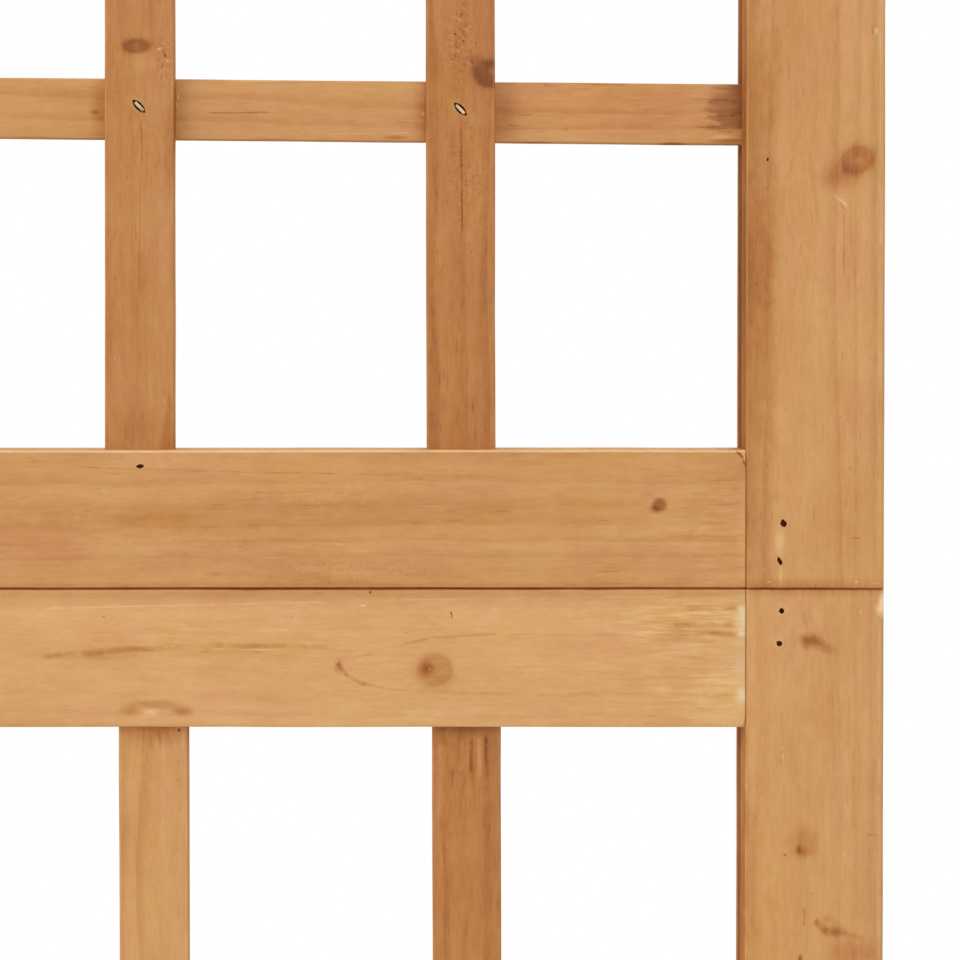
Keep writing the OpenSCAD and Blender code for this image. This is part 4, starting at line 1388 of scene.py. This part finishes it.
# %% Staples and brads
CROWN_LENGTH, CROWN_WIDTH, WIRE = 6 * MM, 1.5 * MM, 1.1 * MM
LEG_START = CROWN_LENGTH / 2 - WIRE
LEG_LENGTH = 7.3 * MM
CROWN_SOFTNESS = 0.4 * MM
BRAD_HEAD = (1.4 * MM, 0.6 * MM, 2.2 * MM)
BRAD_SHANK = 1.1 * MM
BRAD_LENGTH = 12 * MM
BRAD_SOFTNESS = 0.15 * MM
SHARP_ANGLE = 40


def soften(solid, width, segments=2):
    """Rounds the sharp edges over."""
    sharp = math.radians(SHARP_ANGLE)
    modify(solid, "BEVEL", width=width, segments=segments, limit_method="ANGLE", angle_limit=sharp)
    smooth(solid, SHARP_ANGLE)


def draw_out(solid, rule, length):
    """Extrudes the underside's picked faces along +y."""
    pick(solid, "FACE", lambda middle, normal: normal.y > 0.9 and rule(middle))
    bpy.ops.mesh.extrude_region_move(TRANSFORM_OT_translate={"value": (0, length, 0)})
    mode("OBJECT")


def cross_cut(solid, distance, normal):
    """Cuts a solid's faces along two planes, one at each side of its middle."""
    for end in (1, -1):
        edit_all(solid)
        bpy.ops.mesh.bisect(plane_co=[end * distance * part for part in normal], plane_no=normal)
        mode("OBJECT")


staple = block("staple", (CROWN_WIDTH, WIRE, CROWN_LENGTH), (0, WIRE / 2, 0))
cross_cut(staple, LEG_START, (0, 0, 1))
draw_out(staple, lambda middle: abs(middle.z) > LEG_START, LEG_LENGTH)
soften(staple, CROWN_SOFTNESS, 3)
write_attribute(staple, "bench_place", points_of(staple.data))
staple.data.materials.append(STAPLE_ZINC.material)

brad = block("brad", BRAD_HEAD, (0, BRAD_HEAD[1] / 2, 0))
cross_cut(brad, BRAD_SHANK / 2, (1, 0, 0))
cross_cut(brad, BRAD_SHANK / 2, (0, 0, 1))
draw_out(brad, lambda middle: max(abs(middle.x), abs(middle.z)) < BRAD_SHANK / 2, BRAD_LENGTH)
soften(brad, BRAD_SOFTNESS)
brad.data.materials.append(RUSTY_STEEL_SHADED.material)

for panel in PANEL_TURN:
    for nail, places, kind in ((staple, staple_places, "staples"), (brad, brad_places, "brads")):
        stands = [PANEL_FRAME[panel] @ nail_matrix(*place, 0) for place in places[panel]]
        nails = joined([copy_of(nail, "nail", stand) for stand in stands], f"{panel}_{kind}_driven")
        finish_piece(nails, f"{panel}_panel", f"{panel}_{kind}")
remove(staple, brad)
print("staples and brads driven")

# %% [markdown]
# ## Plates, hinges, screws and dowels
#
# These are turned and stamped parts whose shapes the measured model already has, down to the cross recess
# of each screw. What it lacks is the softness that tumbling and plating give. So each is a merged copy of
# its node, with its flat faces made whole again. All but the dowels have their edges rounded over.

# %% Small hardware
PLATE_SOFTNESS, SCREW_SOFTNESS, HINGE_SOFTNESS = 0.35 * MM, 0.1 * MM, 0.2 * MM
FLAT_ANGLE = math.radians(1)


def finished_copy(node, body, finish, width=0.0):
    piece = merged_copy(node, node + "_finished")
    bpy.ops.mesh.dissolve_limited(angle_limit=FLAT_ANGLE)
    mode("OBJECT")
    for note in list(piece.keys()):
        del piece[note]
    piece.data.materials.clear()
    if width:
        soften(piece, width)
    else:
        smooth(piece, SHARP_ANGLE)
    piece.data.materials.append(finish.material)
    finish_piece(piece, body, node)
    return piece


BEECH = Fir("dowel_beech", 0.25)
PANEL_HARDWARE = (
    ("joining_plates", "joining_plates", ZINC, PLATE_SOFTNESS),
    ("plate_screws", "screws", ZINC, SCREW_SOFTNESS),
    ("hinge_screws", "screws", YELLOW_ZINC, SCREW_SOFTNESS),
)
for panel in PANEL_TURN:
    for kind, slot, finish, width in PANEL_HARDWARE:
        finished_copy(f"{panel}_{kind}", f"{panel}_panel", finish, width)
    dowels = finished_copy(f"{panel}_dowels", f"{panel}_panel", BEECH)
    bench = PANEL_FRAME[panel] @ board_frame(Vector((0, 0, 0)), Vector((0, 0, 2 * JOINT_Z)))
    dowels.data.transform(bench.inverted())
    bench_notes(dowels, STILE_SIZE)
    dowels.data.transform(bench)
for seam in ("left", "right"):
    for kind, panel in (("fixed_leaves", "middle"), ("moving_leaves", seam), ("hinge_pins", "middle")):
        finished_copy(f"{seam}_seam_{kind}", f"{panel}_panel", YELLOW_ZINC, HINGE_SOFTNESS)
print("hardware finished")
